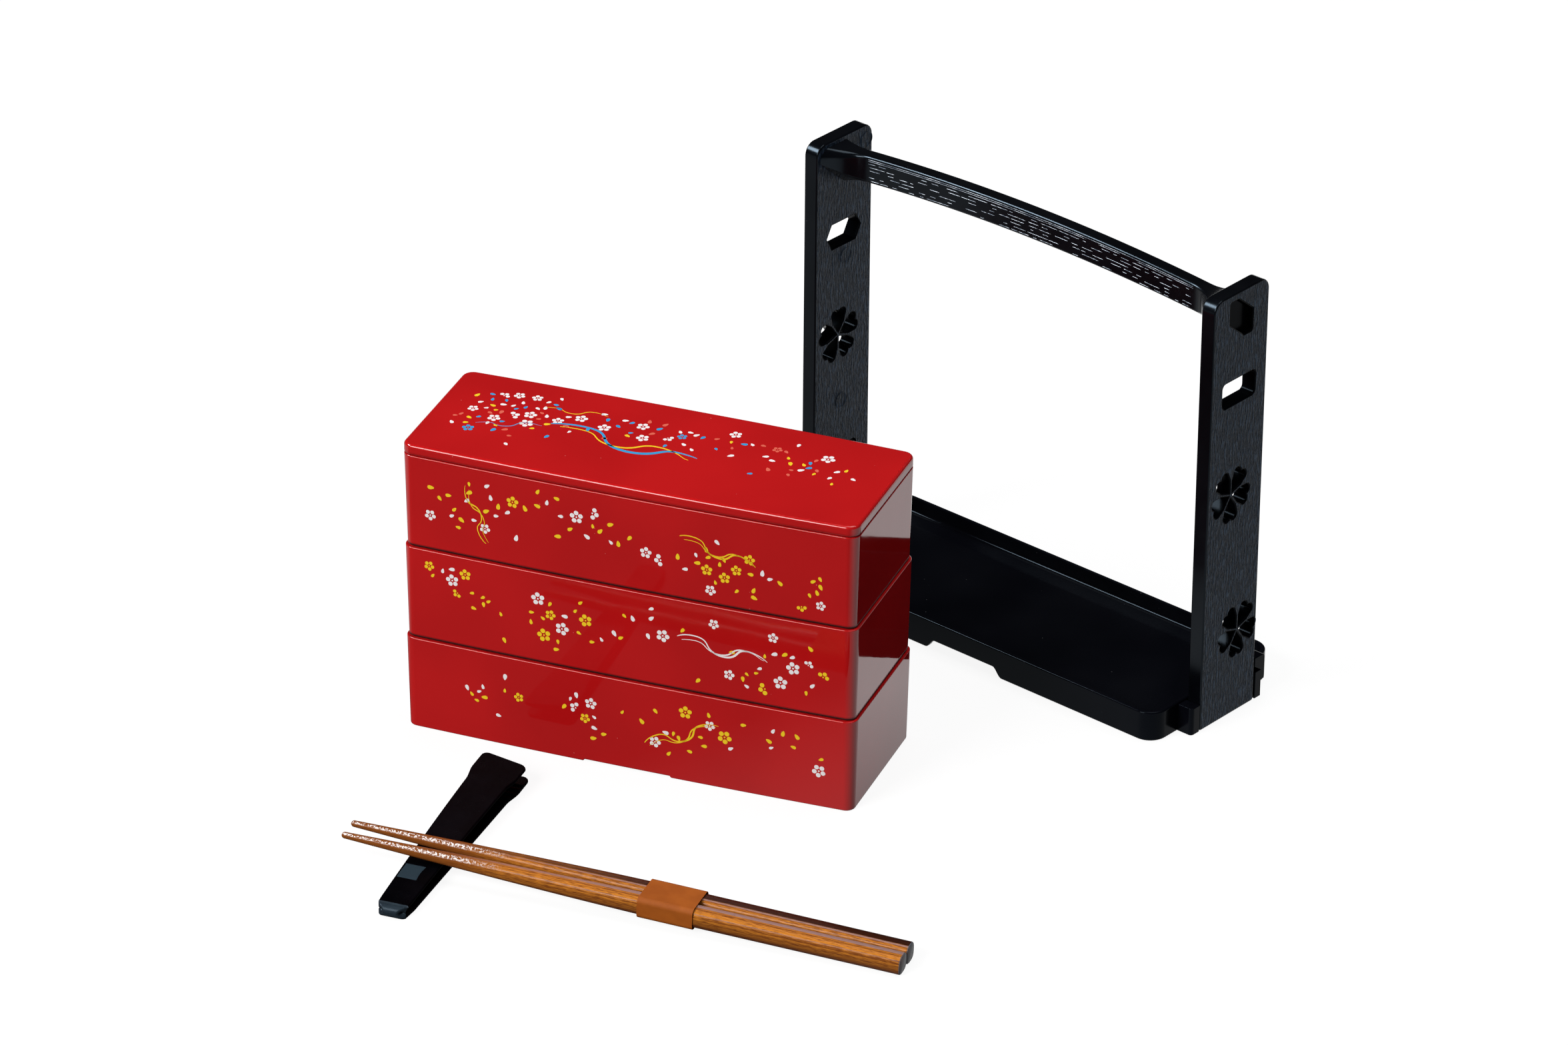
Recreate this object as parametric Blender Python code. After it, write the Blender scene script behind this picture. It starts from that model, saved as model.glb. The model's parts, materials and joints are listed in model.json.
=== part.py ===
"""Three-tier picnic bento box with its carrying frame, chopsticks and serving tongs.

The pieces lie as a set laid out for use: the stack stands by itself in front of
the empty carrier, and the chopsticks lie across the tongs in front of the stack.
Metres, +Z up, +X along the box's long side.
"""

import math

import bmesh
import bpy
from mathutils import Vector
from mathutils.geometry import tessellate_polygon

# Running clearance between neighbouring pieces
GAP = 0.0003

# Box stack: three alike tiers and a flat lid
BOX_LENGTH = 0.1800
BOX_WIDTH = 0.0636
BOX_SIDE_BOW = 0.0012
BOX_CORNER_RADIUS = 0.0045
TIER_NAMES = ("bottom_tier", "middle_tier", "top_tier")
TIER_WALL_HEIGHT = 0.0384
TIER_DRAFT = 0.0008
TIER_FLOOR = 0.0018
SKIRT_WALL = 0.0010
LIP_WALL = 0.0010
LIP_HEIGHT = 0.0026
INNER_DRAFT = 0.0004
INNER_FILLET = 0.0018
SEAM_CHAMFER = 0.0006
RIM_ROUND = 0.0004
LID_HEIGHT = 0.0042
LID_EDGE_ROUND = 0.0013
FOOT_NOTCH_LENGTH = 0.0340
FOOT_NOTCH_HEIGHT = 0.0007

# Base tray of the carrier
TRAY_END_PLAY = 0.0015
TRAY_SIDE_PLAY = 0.0014
TRAY_WALL = 0.0018
TRAY_HEIGHT = 0.0123
TRAY_FLOOR = 0.0018
TRAY_FLOOR_LEVEL = 0.0060
TRAY_CORNER_RADIUS = 0.0075
TRAY_RIM_ROUND = 0.0007
TRAY_FILLET = 0.0012
ARCH_LENGTH = 0.0380
ARCH_HEIGHT = 0.0038
ARCH_SHOULDER = 0.0045
NEAR_EAR_THICKNESS = 0.0048
NEAR_EAR_HEIGHT = 0.0115
FAR_EAR_THICKNESS = 0.0061
FAR_EAR_TOP = 0.0178
FAR_EAR_STEP = 0.0069
FAR_EAR_RIB = 0.0042
HOOK_LEVEL = 0.0115
HOOK_RISE = 0.0027
EAR_EDGE_ROUND = 0.0014
EAR_ROOT = 0.0010

# Posts
POST_WIDTH = 0.0322
POST_THICKNESS = 0.0063
POST_CORNER_RADIUS = 0.0050
POST_FOOT_RADIUS = 0.0010
POST_EDGE_BEVEL = 0.0006
SLOT_ABOVE_LID = 0.0079
SLOT_SIDE_PLAY = 0.0020
SLOT_HEIGHT_PLAY = 0.0025
SLOT_CORNER_RADIUS = 0.0018
SLOT_POINT = 0.0028
SLOT_TO_TOP = 0.0413
TENON_BELOW_TOP = 0.0104
FLOWER_RADIUS = 0.0118
FLOWER_RIB = 0.0016
PETAL_WIDTH = 0.0078
PETAL_NOTCH = 0.0010
UPPER_FLOWER_BELOW_SLOT = 0.0434
UPPER_FLOWER_SIDE = -0.0025
LOWER_FLOWER_LEVEL = 0.0357
LOWER_FLOWER_SIDE = 0.0044

# Handle bar
BAR_THICKNESS = 0.0060
BAR_DEPTH = 0.0114
BAR_RISE = 0.0047
BAR_EDGE_ROUND = 0.0012
FLARE_LENGTH = 0.0170
FLARE_WIDTH = 0.0290
FLARE_HEIGHT = 0.0172
FLARE_CORNER_RADIUS = 0.0050
FLARE_CUT_WIDTH = 0.0139
FLARE_CUT_HEIGHT = 0.0118
TENON_WIDTH = 0.0128
TENON_DEPTH = 0.0152
TENON_DROP = 0.0006
TENON_CORNER_RADIUS = 0.0006
TENON_CUT_WIDTH = 0.0084
TENON_CUT_HEIGHT = 0.0068
TENON_RECESS = 0.0028

# Chopsticks and their paper band
STICK_LENGTH = 0.2184
STICK_WIDTH = 0.0075
STICK_TIP_WIDTH = 0.0024
STICK_TAPER_LENGTH = 0.1300
STICK_TIP_ROUND = 0.0012
STICK_TIP_SPREAD = 0.0010
BAND_WIDTH = 0.0215
BAND_FROM_TIP = 0.1174
BAND_PAPER = 0.0003

# Serving tongs
TONGS_LENGTH = 0.1100
TONGS_ARM = 0.0013
TONGS_BEND_RADIUS = 0.0025
TONGS_NARROW_WIDTH = 0.0118
TONGS_WIDE_WIDTH = 0.0168
TONGS_TIP_WIDTH = 0.0196
TONGS_SHOULDER = 0.0200
TONGS_TIP_ROUND = 0.0024
TONGS_SWELL = 0.0026
TONGS_END_SKEW = math.radians(14)
TONGS_SPLIT_ANGLE = math.radians(165)
TONGS_EDGE_ROUND = 0.0004
BEND_GAP = 0.0005
TOOTH_COUNT = 5
TOOTH_PITCH = 0.0036
TOOTH_HEIGHT = 0.0006
TOOTH_FROM_TIP = 0.0040

# Where the pieces lie, from the middle of the box stack
CARRIER_AT = (0.1024, 0.1234)
CARRIER_TURN = math.radians(-20.6)
STICKS_END_AT = (0.1451, -0.1254)
TONGS_AT = (-0.0402, -0.1630)

# Roundness of the meshes
CORNER_STEPS = 5
SIDE_STEPS = 8
EDGE_STEPS = 2
STICK_SIDES = 16
PETAL_STEPS = 4

# Sizes that follow from the ones above
RECESS_DEPTH = LIP_HEIGHT + GAP
LIP_OUTER = TIER_DRAFT + SKIRT_WALL + GAP
LIP_INNER = LIP_OUTER + LIP_WALL
TIER_PITCH = TIER_WALL_HEIGHT + GAP
STACK_HEIGHT = len(TIER_NAMES) * TIER_PITCH + LID_HEIGHT
TRAY_LENGTH = BOX_LENGTH + 2 * (TRAY_END_PLAY + TRAY_WALL)
TRAY_WIDTH = BOX_WIDTH + 2 * (BOX_SIDE_BOW + TRAY_SIDE_PLAY + TRAY_WALL)
POST_INNER = TRAY_LENGTH / 2 + GAP
POST_OUTER = POST_INNER + POST_THICKNESS
SLOT_WIDTH = 2 * STICK_WIDTH + 2 * SLOT_SIDE_PLAY
SLOT_HEIGHT = STICK_WIDTH + SLOT_HEIGHT_PLAY
SLOT_LEVEL = TRAY_FLOOR_LEVEL + STACK_HEIGHT + SLOT_ABOVE_LID + SLOT_HEIGHT / 2
POST_HEIGHT = SLOT_LEVEL + SLOT_TO_TOP
TENON_LEVEL = POST_HEIGHT - TENON_BELOW_TOP
UPPER_FLOWER_LEVEL = SLOT_LEVEL - UPPER_FLOWER_BELOW_SLOT


def make_material(name, colour, roughness, metallic=0.0):
    """A plain Principled material in the piece's own colour."""
    material = bpy.data.materials.new(name)
    material.use_nodes = True
    shader = material.node_tree.nodes["Principled BSDF"]
    shader.inputs["Base Color"].default_value = (*colour, 1.0)
    shader.inputs["Roughness"].default_value = roughness
    shader.inputs["Metallic"].default_value = metallic
    return material


def add_object(name, mesh, material, parent, at=(0.0, 0.0, 0.0), turn=(0.0, 0.0, 0.0)):
    """Link a mesh as a named object under its parent empty."""
    mesh.materials.append(material)
    obj = bpy.data.objects.new(name, mesh)
    bpy.context.scene.collection.objects.link(obj)
    obj.parent = parent
    obj.location = at
    obj.rotation_euler = turn
    return obj


def add_empty(name, parent, at=(0.0, 0.0, 0.0), turn=(0.0, 0.0, 0.0)):
    """An empty that carries a group of pieces."""
    empty = bpy.data.objects.new(name, None)
    bpy.context.scene.collection.objects.link(empty)
    empty.parent = parent
    empty.location = at
    empty.rotation_euler = turn
    return empty


def finish_mesh(name, bm):
    """Turn the faces outwards and hand the mesh over."""
    bmesh.ops.recalc_face_normals(bm, faces=bm.faces)
    mesh = bpy.data.meshes.new(name)
    bm.to_mesh(mesh)
    bm.free()
    return mesh


def loft_mesh(name, rings):
    """Skin a row of equal rings and close both ends."""
    bm = bmesh.new()
    rows = [[bm.verts.new(point) for point in ring] for ring in rings]
    for low, high in zip(rows, rows[1:]):
        count = len(low)
        for i in range(count):
            j = (i + 1) % count
            bm.faces.new((low[i], low[j], high[j], high[i]))
    bm.faces.new(list(reversed(rows[0])))
    bm.faces.new(rows[-1])
    return finish_mesh(name, bm)


def prism_mesh(name, outline, axis, low, high):
    """Extrude a flat outline along X, Y or Z between two levels."""
    def place(point, level):
        values = list(point)
        values.insert(axis, level)
        return values
    rings = [[place(p, low) for p in outline], [place(p, high) for p in outline]]
    return loft_mesh(name, rings)


def arc_points(centre, radius, start, end, steps):
    """Points along an arc, both ends included."""
    angles = [start + (end - start) * i / steps for i in range(steps + 1)]
    return [(centre[0] + radius * math.cos(a), centre[1] + radius * math.sin(a)) for a in angles]


def rounded_outline(length, width, radius, bow=0.0, inset=0.0):
    """A rounded rectangle, counter-clockwise, whose long sides may bow outwards."""
    corner = max(radius - inset, RIM_ROUND)
    half_x = length / 2 - inset
    half_y = width / 2 - inset
    cx = half_x - corner
    cy = half_y - corner
    quarter = math.pi / 2
    side = [-cx + 2 * cx * i / SIDE_STEPS for i in range(1, SIDE_STEPS)]
    points = arc_points((cx, -cy), corner, -quarter, 0, CORNER_STEPS)
    points += arc_points((cx, cy), corner, 0, quarter, CORNER_STEPS)
    points += [(-x, half_y + bow * (1 - (x / cx) ** 2)) for x in side]
    points += arc_points((-cx, cy), corner, quarter, 2 * quarter, CORNER_STEPS)
    points += arc_points((-cx, -cy), corner, 2 * quarter, 3 * quarter, CORNER_STEPS)
    points += [(x, -half_y - bow * (1 - (x / cx) ** 2)) for x in side]
    return points


def box_ring(inset, level):
    """One ring of a tier or the lid, set in from the rim's outline."""
    outline = rounded_outline(BOX_LENGTH, BOX_WIDTH, BOX_CORNER_RADIUS, BOX_SIDE_BOW, inset)
    return [(x, y, level) for x, y in outline]


def round_edge(inset, level, radius, steps=EDGE_STEPS):
    """Insets and levels of an outer top edge rounded inwards over the given radius."""
    angles = [math.pi / 2 * i / steps for i in range(steps + 1)]
    return [(inset + radius * (1 - math.cos(a)), level - radius * (1 - math.sin(a))) for a in angles]


def tier_mesh(name):
    """A tier: drafted wall, recess below for its neighbour's lip, own lip above."""
    top = TIER_WALL_HEIGHT
    skirt = TIER_DRAFT + SKIRT_WALL
    floor_level = RECESS_DEPTH + TIER_FLOOR
    inner = LIP_INNER + INNER_DRAFT
    profile = [(skirt, RECESS_DEPTH), (skirt, 0.0), (TIER_DRAFT + SEAM_CHAMFER, 0.0)]
    profile += [(TIER_DRAFT, SEAM_CHAMFER)]
    profile += round_edge(0.0, top, RIM_ROUND)
    profile += [(LIP_OUTER, top), (LIP_OUTER, top + LIP_HEIGHT), (LIP_INNER, top + LIP_HEIGHT)]
    profile += [(inner, floor_level + INNER_FILLET), (inner + INNER_FILLET, floor_level)]
    return loft_mesh(name, [box_ring(inset, level) for inset, level in profile])


def lid_mesh():
    """The flat lid: a skirt over the top tier's lip and a softly rounded upper edge."""
    skirt = TIER_DRAFT + SKIRT_WALL
    profile = [(skirt, RECESS_DEPTH), (skirt, 0.0), (SEAM_CHAMFER, 0.0), (0.0, SEAM_CHAMFER)]
    profile += round_edge(0.0, LID_HEIGHT, LID_EDGE_ROUND, 3)
    return loft_mesh("box_lid", [box_ring(inset, level) for inset, level in profile])


def add_boolean(obj, tool, operation):
    """Cut with, or join to, a hidden tool object."""
    tool.hide_render = True
    tool.display_type = "WIRE"
    modifier = obj.modifiers.new(tool.name, "BOOLEAN")
    modifier.operation = operation
    modifier.solver = "EXACT"
    modifier.object = tool


def build_stack(parent):
    """Three tiers seated one in another, and the lid."""
    red = (0.46, 0.012, 0.014)
    reach = BOX_WIDTH
    for index, name in enumerate(TIER_NAMES):
        lacquer = make_material(name + "_lacquer", red, 0.12)
        tier = add_object(name, tier_mesh(name), lacquer, parent, (0, 0, index * TIER_PITCH))
        if index == 0:
            half = FOOT_NOTCH_LENGTH / 2
            slope = 2 * FOOT_NOTCH_HEIGHT
            outline = [(-half - slope, -FOOT_NOTCH_HEIGHT), (half + slope, -FOOT_NOTCH_HEIGHT)]
            outline += [(half, FOOT_NOTCH_HEIGHT), (-half, FOOT_NOTCH_HEIGHT)]
            mesh = prism_mesh("foot_notch", outline, 1, -reach, reach)
            notch = add_object("foot_notch", mesh, lacquer, parent)
            add_boolean(tier, notch, "DIFFERENCE")
    lacquer = make_material("lid_lacquer", red, 0.12)
    add_object("box_lid", lid_mesh(), lacquer, parent, (0, 0, len(TIER_NAMES) * TIER_PITCH))


def tray_ring(inset, level):
    """One ring of the tray, set in from its outer outline."""
    outline = rounded_outline(TRAY_LENGTH, TRAY_WIDTH, TRAY_CORNER_RADIUS, 0.0, inset)
    return [(x, y, level) for x, y in outline]


def tray_mesh():
    """The tray's shell: a low wall all round, a raised floor, open below."""
    under = TRAY_FLOOR_LEVEL - TRAY_FLOOR
    profile = [(TRAY_WALL, under), (TRAY_WALL, 0.0), (TRAY_RIM_ROUND, 0.0)]
    profile += [(0.0, TRAY_RIM_ROUND)]
    profile += round_edge(0.0, TRAY_HEIGHT, TRAY_RIM_ROUND)
    profile += [(TRAY_WALL, TRAY_HEIGHT), (TRAY_WALL, TRAY_FLOOR_LEVEL + TRAY_FILLET)]
    profile += [(TRAY_WALL + TRAY_FILLET, TRAY_FLOOR_LEVEL)]
    return loft_mesh("base_tray", [tray_ring(inset, level) for inset, level in profile])


def near_ear_mesh(name):
    """The low ear beside a post: its outer corner is rounded, its top slightly."""
    inner_x = TRAY_LENGTH / 2 - EAR_ROOT
    near = -POST_WIDTH / 2 - GAP
    far = near - NEAR_EAR_THICKNESS
    r = EAR_EDGE_ROUND
    outline = [(inner_x, near), (inner_x, far)]
    outline += arc_points((POST_OUTER - r, far + r), r, -math.pi / 2, 0, 3)
    outline += [(POST_OUTER, near)]
    return prism_mesh(name, outline, 2, 0.0, NEAR_EAR_HEIGHT)


def far_ear_mesh(name):
    """The tall ear with its hook: a rib below, an open wedge above it, a block on top."""
    near = POST_WIDTH / 2 + GAP
    far = near + FAR_EAR_THICKNESS
    rib_near = near + 2 * GAP
    rib_far = near + FAR_EAR_RIB
    r = EAR_EDGE_ROUND
    outline = [(rib_near, 0.0), (rib_far, 0.0), (rib_far, FAR_EAR_STEP), (far, FAR_EAR_STEP)]
    outline += arc_points((far - r, FAR_EAR_TOP - r), r, 0, math.pi / 2, 3)
    outline += [(near, FAR_EAR_TOP), (near, HOOK_LEVEL + HOOK_RISE)]
    outline += [(rib_far - GAP, HOOK_LEVEL), (rib_near, HOOK_LEVEL)]
    return prism_mesh(name, outline, 0, TRAY_LENGTH / 2 - EAR_ROOT, POST_OUTER)


def arch_outline():
    """The raised middle of the tray's front and back skirts, with soft shoulders."""
    steps = 6
    half = ARCH_LENGTH / 2
    shoulder = []
    for i in range(steps + 1):
        share = i / steps
        rise = ARCH_HEIGHT * (1 - math.cos(math.pi * share)) / 2
        shoulder.append((half - ARCH_SHOULDER * share, rise))
    outline = [(-half, -ARCH_HEIGHT), (half, -ARCH_HEIGHT)] + shoulder
    return outline + [(-x, z) for x, z in reversed(shoulder)]


def build_tray(parent):
    """The base tray with two arches in its skirt and a pair of ears at each end."""
    plastic = make_material("tray_plastic", (0.006, 0.006, 0.008), 0.22)
    tray = add_object("base_tray", tray_mesh(), plastic, parent)
    mesh = prism_mesh("skirt_arch", arch_outline(), 1, -TRAY_WIDTH, TRAY_WIDTH)
    add_boolean(tray, add_object("skirt_arch", mesh, plastic, parent), "DIFFERENCE")
    for label, turn in (("right", 0.0), ("left", math.pi)):
        near = near_ear_mesh(label + "_near_ear")
        far = far_ear_mesh(label + "_far_ear")
        for ear in (near, far):
            tool = add_object(ear.name, ear, plastic, parent, turn=(0, 0, turn))
            add_boolean(tray, tool, "UNION")


def offset_loop(points, distance):
    """Move a counter-clockwise loop inwards by a small distance, corner by corner."""
    count = len(points)
    moved = []
    for i in range(count):
        before = Vector(points[i]) - Vector(points[i - 1])
        after = Vector(points[(i + 1) % count]) - Vector(points[i])
        before.normalize()
        after.normalize()
        inward = Vector((-before.y - after.y, before.x + after.x))
        inward.normalize()
        spread = max(inward.dot(Vector((-before.y, before.x))), 0.5)
        moved.append(tuple(Vector(points[i]) + inward * (distance / spread)))
    return moved


def plate_mesh(name, outline, holes, thickness, bevel):
    """A flat plate across X with through holes, every edge bevelled."""
    half = thickness / 2
    levels = ((-half, bevel), (-half + bevel, 0.0), (half - bevel, 0.0), (half, bevel))
    bm = bmesh.new()
    caps = {0: [], 3: []}
    for number, loop in enumerate([outline] + holes):
        sign = 1 if number == 0 else -1
        rows = []
        for x, inset in levels:
            moved = offset_loop(loop, sign * inset)
            rows.append([bm.verts.new((x, y, z)) for y, z in moved])
        for low, high in zip(rows, rows[1:]):
            for i in range(len(low)):
                j = (i + 1) % len(low)
                bm.faces.new((low[i], low[j], high[j], high[i]))
        for level in caps:
            caps[level].append(rows[level])
    for loops in caps.values():
        flat = [vert for loop in loops for vert in loop]
        for triangle in tessellate_polygon([[vert.co for vert in loop] for loop in loops]):
            bm.faces.new([flat[i] for i in triangle])
    return finish_mesh(name, bm)


def post_outline():
    """Side view of a post: round upper corners, nearly square foot."""
    half = POST_WIDTH / 2
    top = POST_CORNER_RADIUS
    foot = POST_FOOT_RADIUS
    quarter = math.pi / 2
    points = arc_points((half - foot, foot), foot, -quarter, 0, 2)
    points += arc_points((half - top, POST_HEIGHT - top), top, 0, quarter, CORNER_STEPS)
    points += arc_points((-half + top, POST_HEIGHT - top), top, quarter, 2 * quarter, CORNER_STEPS)
    points += arc_points((-half + foot, foot), foot, 2 * quarter, 3 * quarter, 2)
    return points


def cut_outline(width, height, radius, cut_width, cut_height, level):
    """An upright rectangle with its upper back and lower front corners cut off."""
    steps = 4
    quarter = math.pi / 2
    half = width / 2
    rise = height / 2
    points = []
    for index, (sy, sz) in enumerate(((1, -1), (1, 1), (-1, 1), (-1, -1))):
        if sy == sz:
            for i in range(steps + 1):
                share = i / steps
                y = half - cut_width * share
                z = rise - cut_height * (1 - share)
                points.append((sy * y, sz * z))
        else:
            centre = (sy * (half - radius), sz * (rise - radius))
            start = (index - 1) * quarter
            points += arc_points(centre, radius, start, start + quarter, steps)
    return [(y, z + level) for y, z in points]


def tenon_outline():
    """Section of the bar's tenon."""
    return cut_outline(TENON_WIDTH, TENON_DEPTH, TENON_CORNER_RADIUS, TENON_CUT_WIDTH,
                       TENON_CUT_HEIGHT, TENON_LEVEL - TENON_DROP)


def rounded_slot():
    """The right post's slot: a rectangle with round corners."""
    y = SLOT_WIDTH / 2 - SLOT_CORNER_RADIUS
    z = SLOT_HEIGHT / 2 - SLOT_CORNER_RADIUS
    quarter = math.pi / 2
    points = []
    for index, (sy, sz) in enumerate(((1, -1), (1, 1), (-1, 1), (-1, -1))):
        start = (index - 1) * quarter
        points += arc_points((sy * y, sz * z), SLOT_CORNER_RADIUS, start, start + quarter, 3)
    return [(a, b + SLOT_LEVEL) for a, b in points]


def pointed_slot():
    """The left post's slot: a long hexagon."""
    y = SLOT_WIDTH / 2
    z = SLOT_HEIGHT / 2
    flat = y - SLOT_POINT
    points = [(flat, -z), (y, 0.0), (flat, z), (-flat, z), (-y, 0.0), (-flat, -z)]
    return [(a, b + SLOT_LEVEL) for a, b in points]


def petal_loop(centre, angle):
    """One notched petal of a cut-out blossom, its narrow end towards the middle."""
    half = PETAL_WIDTH / 2
    root = FLOWER_RIB / (2 * math.sin(math.radians(36)))
    lobe = half / 2
    shoulder = FLOWER_RADIUS - lobe - PETAL_NOTCH
    side = []
    for i in range(PETAL_STEPS + 1):
        turn = math.pi * 0.9 * i / PETAL_STEPS
        side.append((shoulder + lobe * math.sin(turn), lobe + lobe * math.cos(turn)))
    notch = (FLOWER_RADIUS - lobe, 0.0)
    right = [(root, 0.0), (shoulder * 0.6, -half * 0.74)] + [(r, -w) for r, w in side]
    left = [(r, w) for r, w in reversed(side)] + [(shoulder * 0.6, half * 0.74)]
    loop = right + [notch] + left
    cos, sin = math.cos(angle), math.sin(angle)
    return [(centre[0] + r * cos - w * sin, centre[1] + r * sin + w * cos) for r, w in loop]


def flower_loops(centre, first_angle):
    """The five petals of a blossom."""
    fifth = 2 * math.pi / 5
    return [petal_loop(centre, first_angle + fifth * i) for i in range(5)]


def build_posts(parent):
    """Both upright posts, standing between the tray's ears."""
    middle = (POST_INNER + POST_OUTER) / 2
    tenon_hole = offset_loop(tenon_outline(), -GAP)
    upper = (UPPER_FLOWER_SIDE, UPPER_FLOWER_LEVEL)
    lower = (LOWER_FLOWER_SIDE, LOWER_FLOWER_LEVEL)
    up = math.pi / 2
    for name, side, slot, angle in (("left_post", -1, pointed_slot(), up),
                                    ("right_post", 1, rounded_slot(), -up)):
        holes = [tenon_hole, slot] + flower_loops(upper, angle) + flower_loops(lower, angle)
        mesh = plate_mesh(name, post_outline(), holes, POST_THICKNESS, POST_EDGE_BEVEL)
        plastic = make_material(name + "_plastic", (0.012, 0.013, 0.016), 0.42)
        add_object(name, mesh, plastic, parent, (side * middle, 0, 0))


def bar_outline(low, high):
    """Section of the handle bar between its ends: a rounded rectangle."""
    quarter = math.pi / 2
    radius = BAR_EDGE_ROUND
    cy = BAR_THICKNESS / 2 - radius
    corners = ((cy, low + radius), (cy, high - radius), (-cy, high - radius), (-cy, low + radius))
    points = []
    for index, centre in enumerate(corners):
        start = (index - 1) * quarter
        points += arc_points(centre, radius, start, start + quarter, 4)
    return points


def bar_levels(x):
    """Underside and top of the arched bar at a station."""
    crown = TENON_LEVEL + BAR_RISE
    middle = crown - BAR_RISE * (x / POST_INNER) ** 2
    return middle - BAR_DEPTH / 2, middle + BAR_DEPTH / 2


def build_handle(parent):
    """The arched bar, flared where it meets the posts, with a tenon at each end."""
    face = POST_INNER - GAP
    tenon_end = POST_OUTER - TENON_RECESS
    tenon = tenon_outline()
    flare = cut_outline(FLARE_WIDTH, FLARE_HEIGHT, FLARE_CORNER_RADIUS, FLARE_CUT_WIDTH,
                        FLARE_CUT_HEIGHT, TENON_LEVEL)
    end = [[(x, y, z) for y, z in tenon] for x in (tenon_end, face)]
    steps = 7
    for i in range(steps + 1):
        share = i / steps
        swell = (1 - math.sin(math.pi / 2 * share)) ** 1.5
        x = face - FLARE_LENGTH * share
        ring = []
        for thin, wide in zip(bar_outline(*bar_levels(x)), flare):
            y = thin[0] + (wide[0] - thin[0]) * swell
            z = thin[1] + (wide[1] - thin[1]) * swell
            ring.append((x, y, z))
        end.append(ring)
    reach = face - FLARE_LENGTH
    count = 14
    middle = []
    for i in range(1, count):
        x = reach - 2 * reach * i / count
        middle.append([(x, y, z) for y, z in bar_outline(*bar_levels(x))])
    mirrored = [[(-x, y, z) for x, y, z in ring] for ring in reversed(end)]
    mesh = loft_mesh("handle_bar", end + middle + mirrored)
    plastic = make_material("handle_plastic", (0.010, 0.011, 0.014), 0.35)
    add_object("handle_bar", mesh, plastic, parent)


def stick_half_width(distance):
    """Half width of a chopstick at a distance from its tip."""
    share = min(distance / STICK_TAPER_LENGTH, 1.0)
    swell = 1 - (1 - share) ** 1.6
    return STICK_TIP_WIDTH / 2 + (STICK_WIDTH - STICK_TIP_WIDTH) / 2 * swell


def stick_ring(distance, half):
    """A ring of the chopstick: round at the tip, a soft square at the thick end."""
    share = min(distance / STICK_TAPER_LENGTH, 1.0)
    power = 2 + 3 * share
    points = []
    for i in range(STICK_SIDES):
        angle = 2 * math.pi * (i + 0.5) / STICK_SIDES
        cos, sin = math.cos(angle), math.sin(angle)
        radius = half / (abs(cos) ** power + abs(sin) ** power) ** (1 / power)
        points.append((distance - STICK_LENGTH, radius * cos, radius * sin))
    return points


def stick_mesh(name):
    """A chopstick along X, its thick end's middle at the origin."""
    r = STICK_TIP_ROUND
    rings = []
    for i in range(3):
        angle = math.pi / 2 * (i + 1) / 4
        distance = r * (1 - math.cos(angle))
        rings.append(stick_ring(distance, stick_half_width(0) * math.sin(angle)))
    stations = [r] + [STICK_TAPER_LENGTH * i / 8 for i in range(1, 9)]
    stations.append(STICK_LENGTH - r / 2)
    rings += [stick_ring(d, stick_half_width(d)) for d in stations]
    rings.append(stick_ring(STICK_LENGTH, stick_half_width(STICK_LENGTH) - r / 2))
    return loft_mesh(name, rings)


def band_mesh():
    """The paper band round both chopsticks, its middle at the origin."""
    inner_y = STICK_WIDTH + GAP / 2 + GAP
    inner_z = STICK_WIDTH / 2 + GAP
    half = BAND_WIDTH / 2
    radius = STICK_WIDTH / 4
    bm = bmesh.new()
    rows = []
    for x, paper in ((-half, 0.0), (-half, BAND_PAPER), (half, BAND_PAPER), (half, 0.0)):
        ring = []
        for index, (sy, sz) in enumerate(((1, -1), (1, 1), (-1, 1), (-1, -1))):
            centre = (sy * (inner_y - radius), sz * (inner_z - radius))
            start = (index - 1) * math.pi / 2
            ring += arc_points(centre, radius + paper, start, start + math.pi / 2, 3)
        rows.append([bm.verts.new((x, y, z)) for y, z in ring])
    for low, high in zip(rows, rows[1:] + rows[:1]):
        for i in range(len(low)):
            j = (i + 1) % len(low)
            bm.faces.new((low[i], low[j], high[j], high[i]))
    return finish_mesh("paper_band", bm)


def tongs_top(distance):
    """Level of the upper arm's top: it swells from the bend to the shoulders, then dips."""
    share = max(distance - TONGS_BEND_RADIUS, 0.0) / (TONGS_LENGTH - TONGS_SHOULDER)
    return 2 * TONGS_BEND_RADIUS + TONGS_SWELL * math.sin(math.pi / 2 * share)


def build_chopsticks(parent):
    """Two chopsticks side by side on the tongs, held by their band."""
    crossing = TONGS_AT[0] - (STICKS_END_AT[0] - STICK_LENGTH)
    rear_edge = STICKS_END_AT[1] + STICK_WIDTH + GAP
    rest = tongs_top(rear_edge - TONGS_AT[1]) + GAP
    half = STICK_WIDTH / 2
    lift = rest + stick_half_width(crossing) - half
    tilt = math.atan2(lift, STICK_LENGTH - crossing)
    end_at = (*STICKS_END_AT, half * math.cos(tilt))
    pair = add_empty("chopstick_pair", parent, end_at, (0, tilt, 0))
    spread = math.atan2(STICK_TIP_SPREAD / 2, STICK_LENGTH)
    for name, side in (("front_chopstick", -1), ("rear_chopstick", 1)):
        wood = make_material(name + "_wood", (0.30, 0.11, 0.04), 0.38)
        at = (0, side * (half + GAP / 2), 0)
        add_object(name, stick_mesh(name), wood, pair, at, (0, 0, -side * spread))
    paper = make_material("band_paper", (0.38, 0.10, 0.03), 0.7)
    at = (BAND_FROM_TIP + BAND_WIDTH / 2 - STICK_LENGTH, 0, 0)
    add_object("paper_band", band_mesh(), paper, pair, at)


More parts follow.
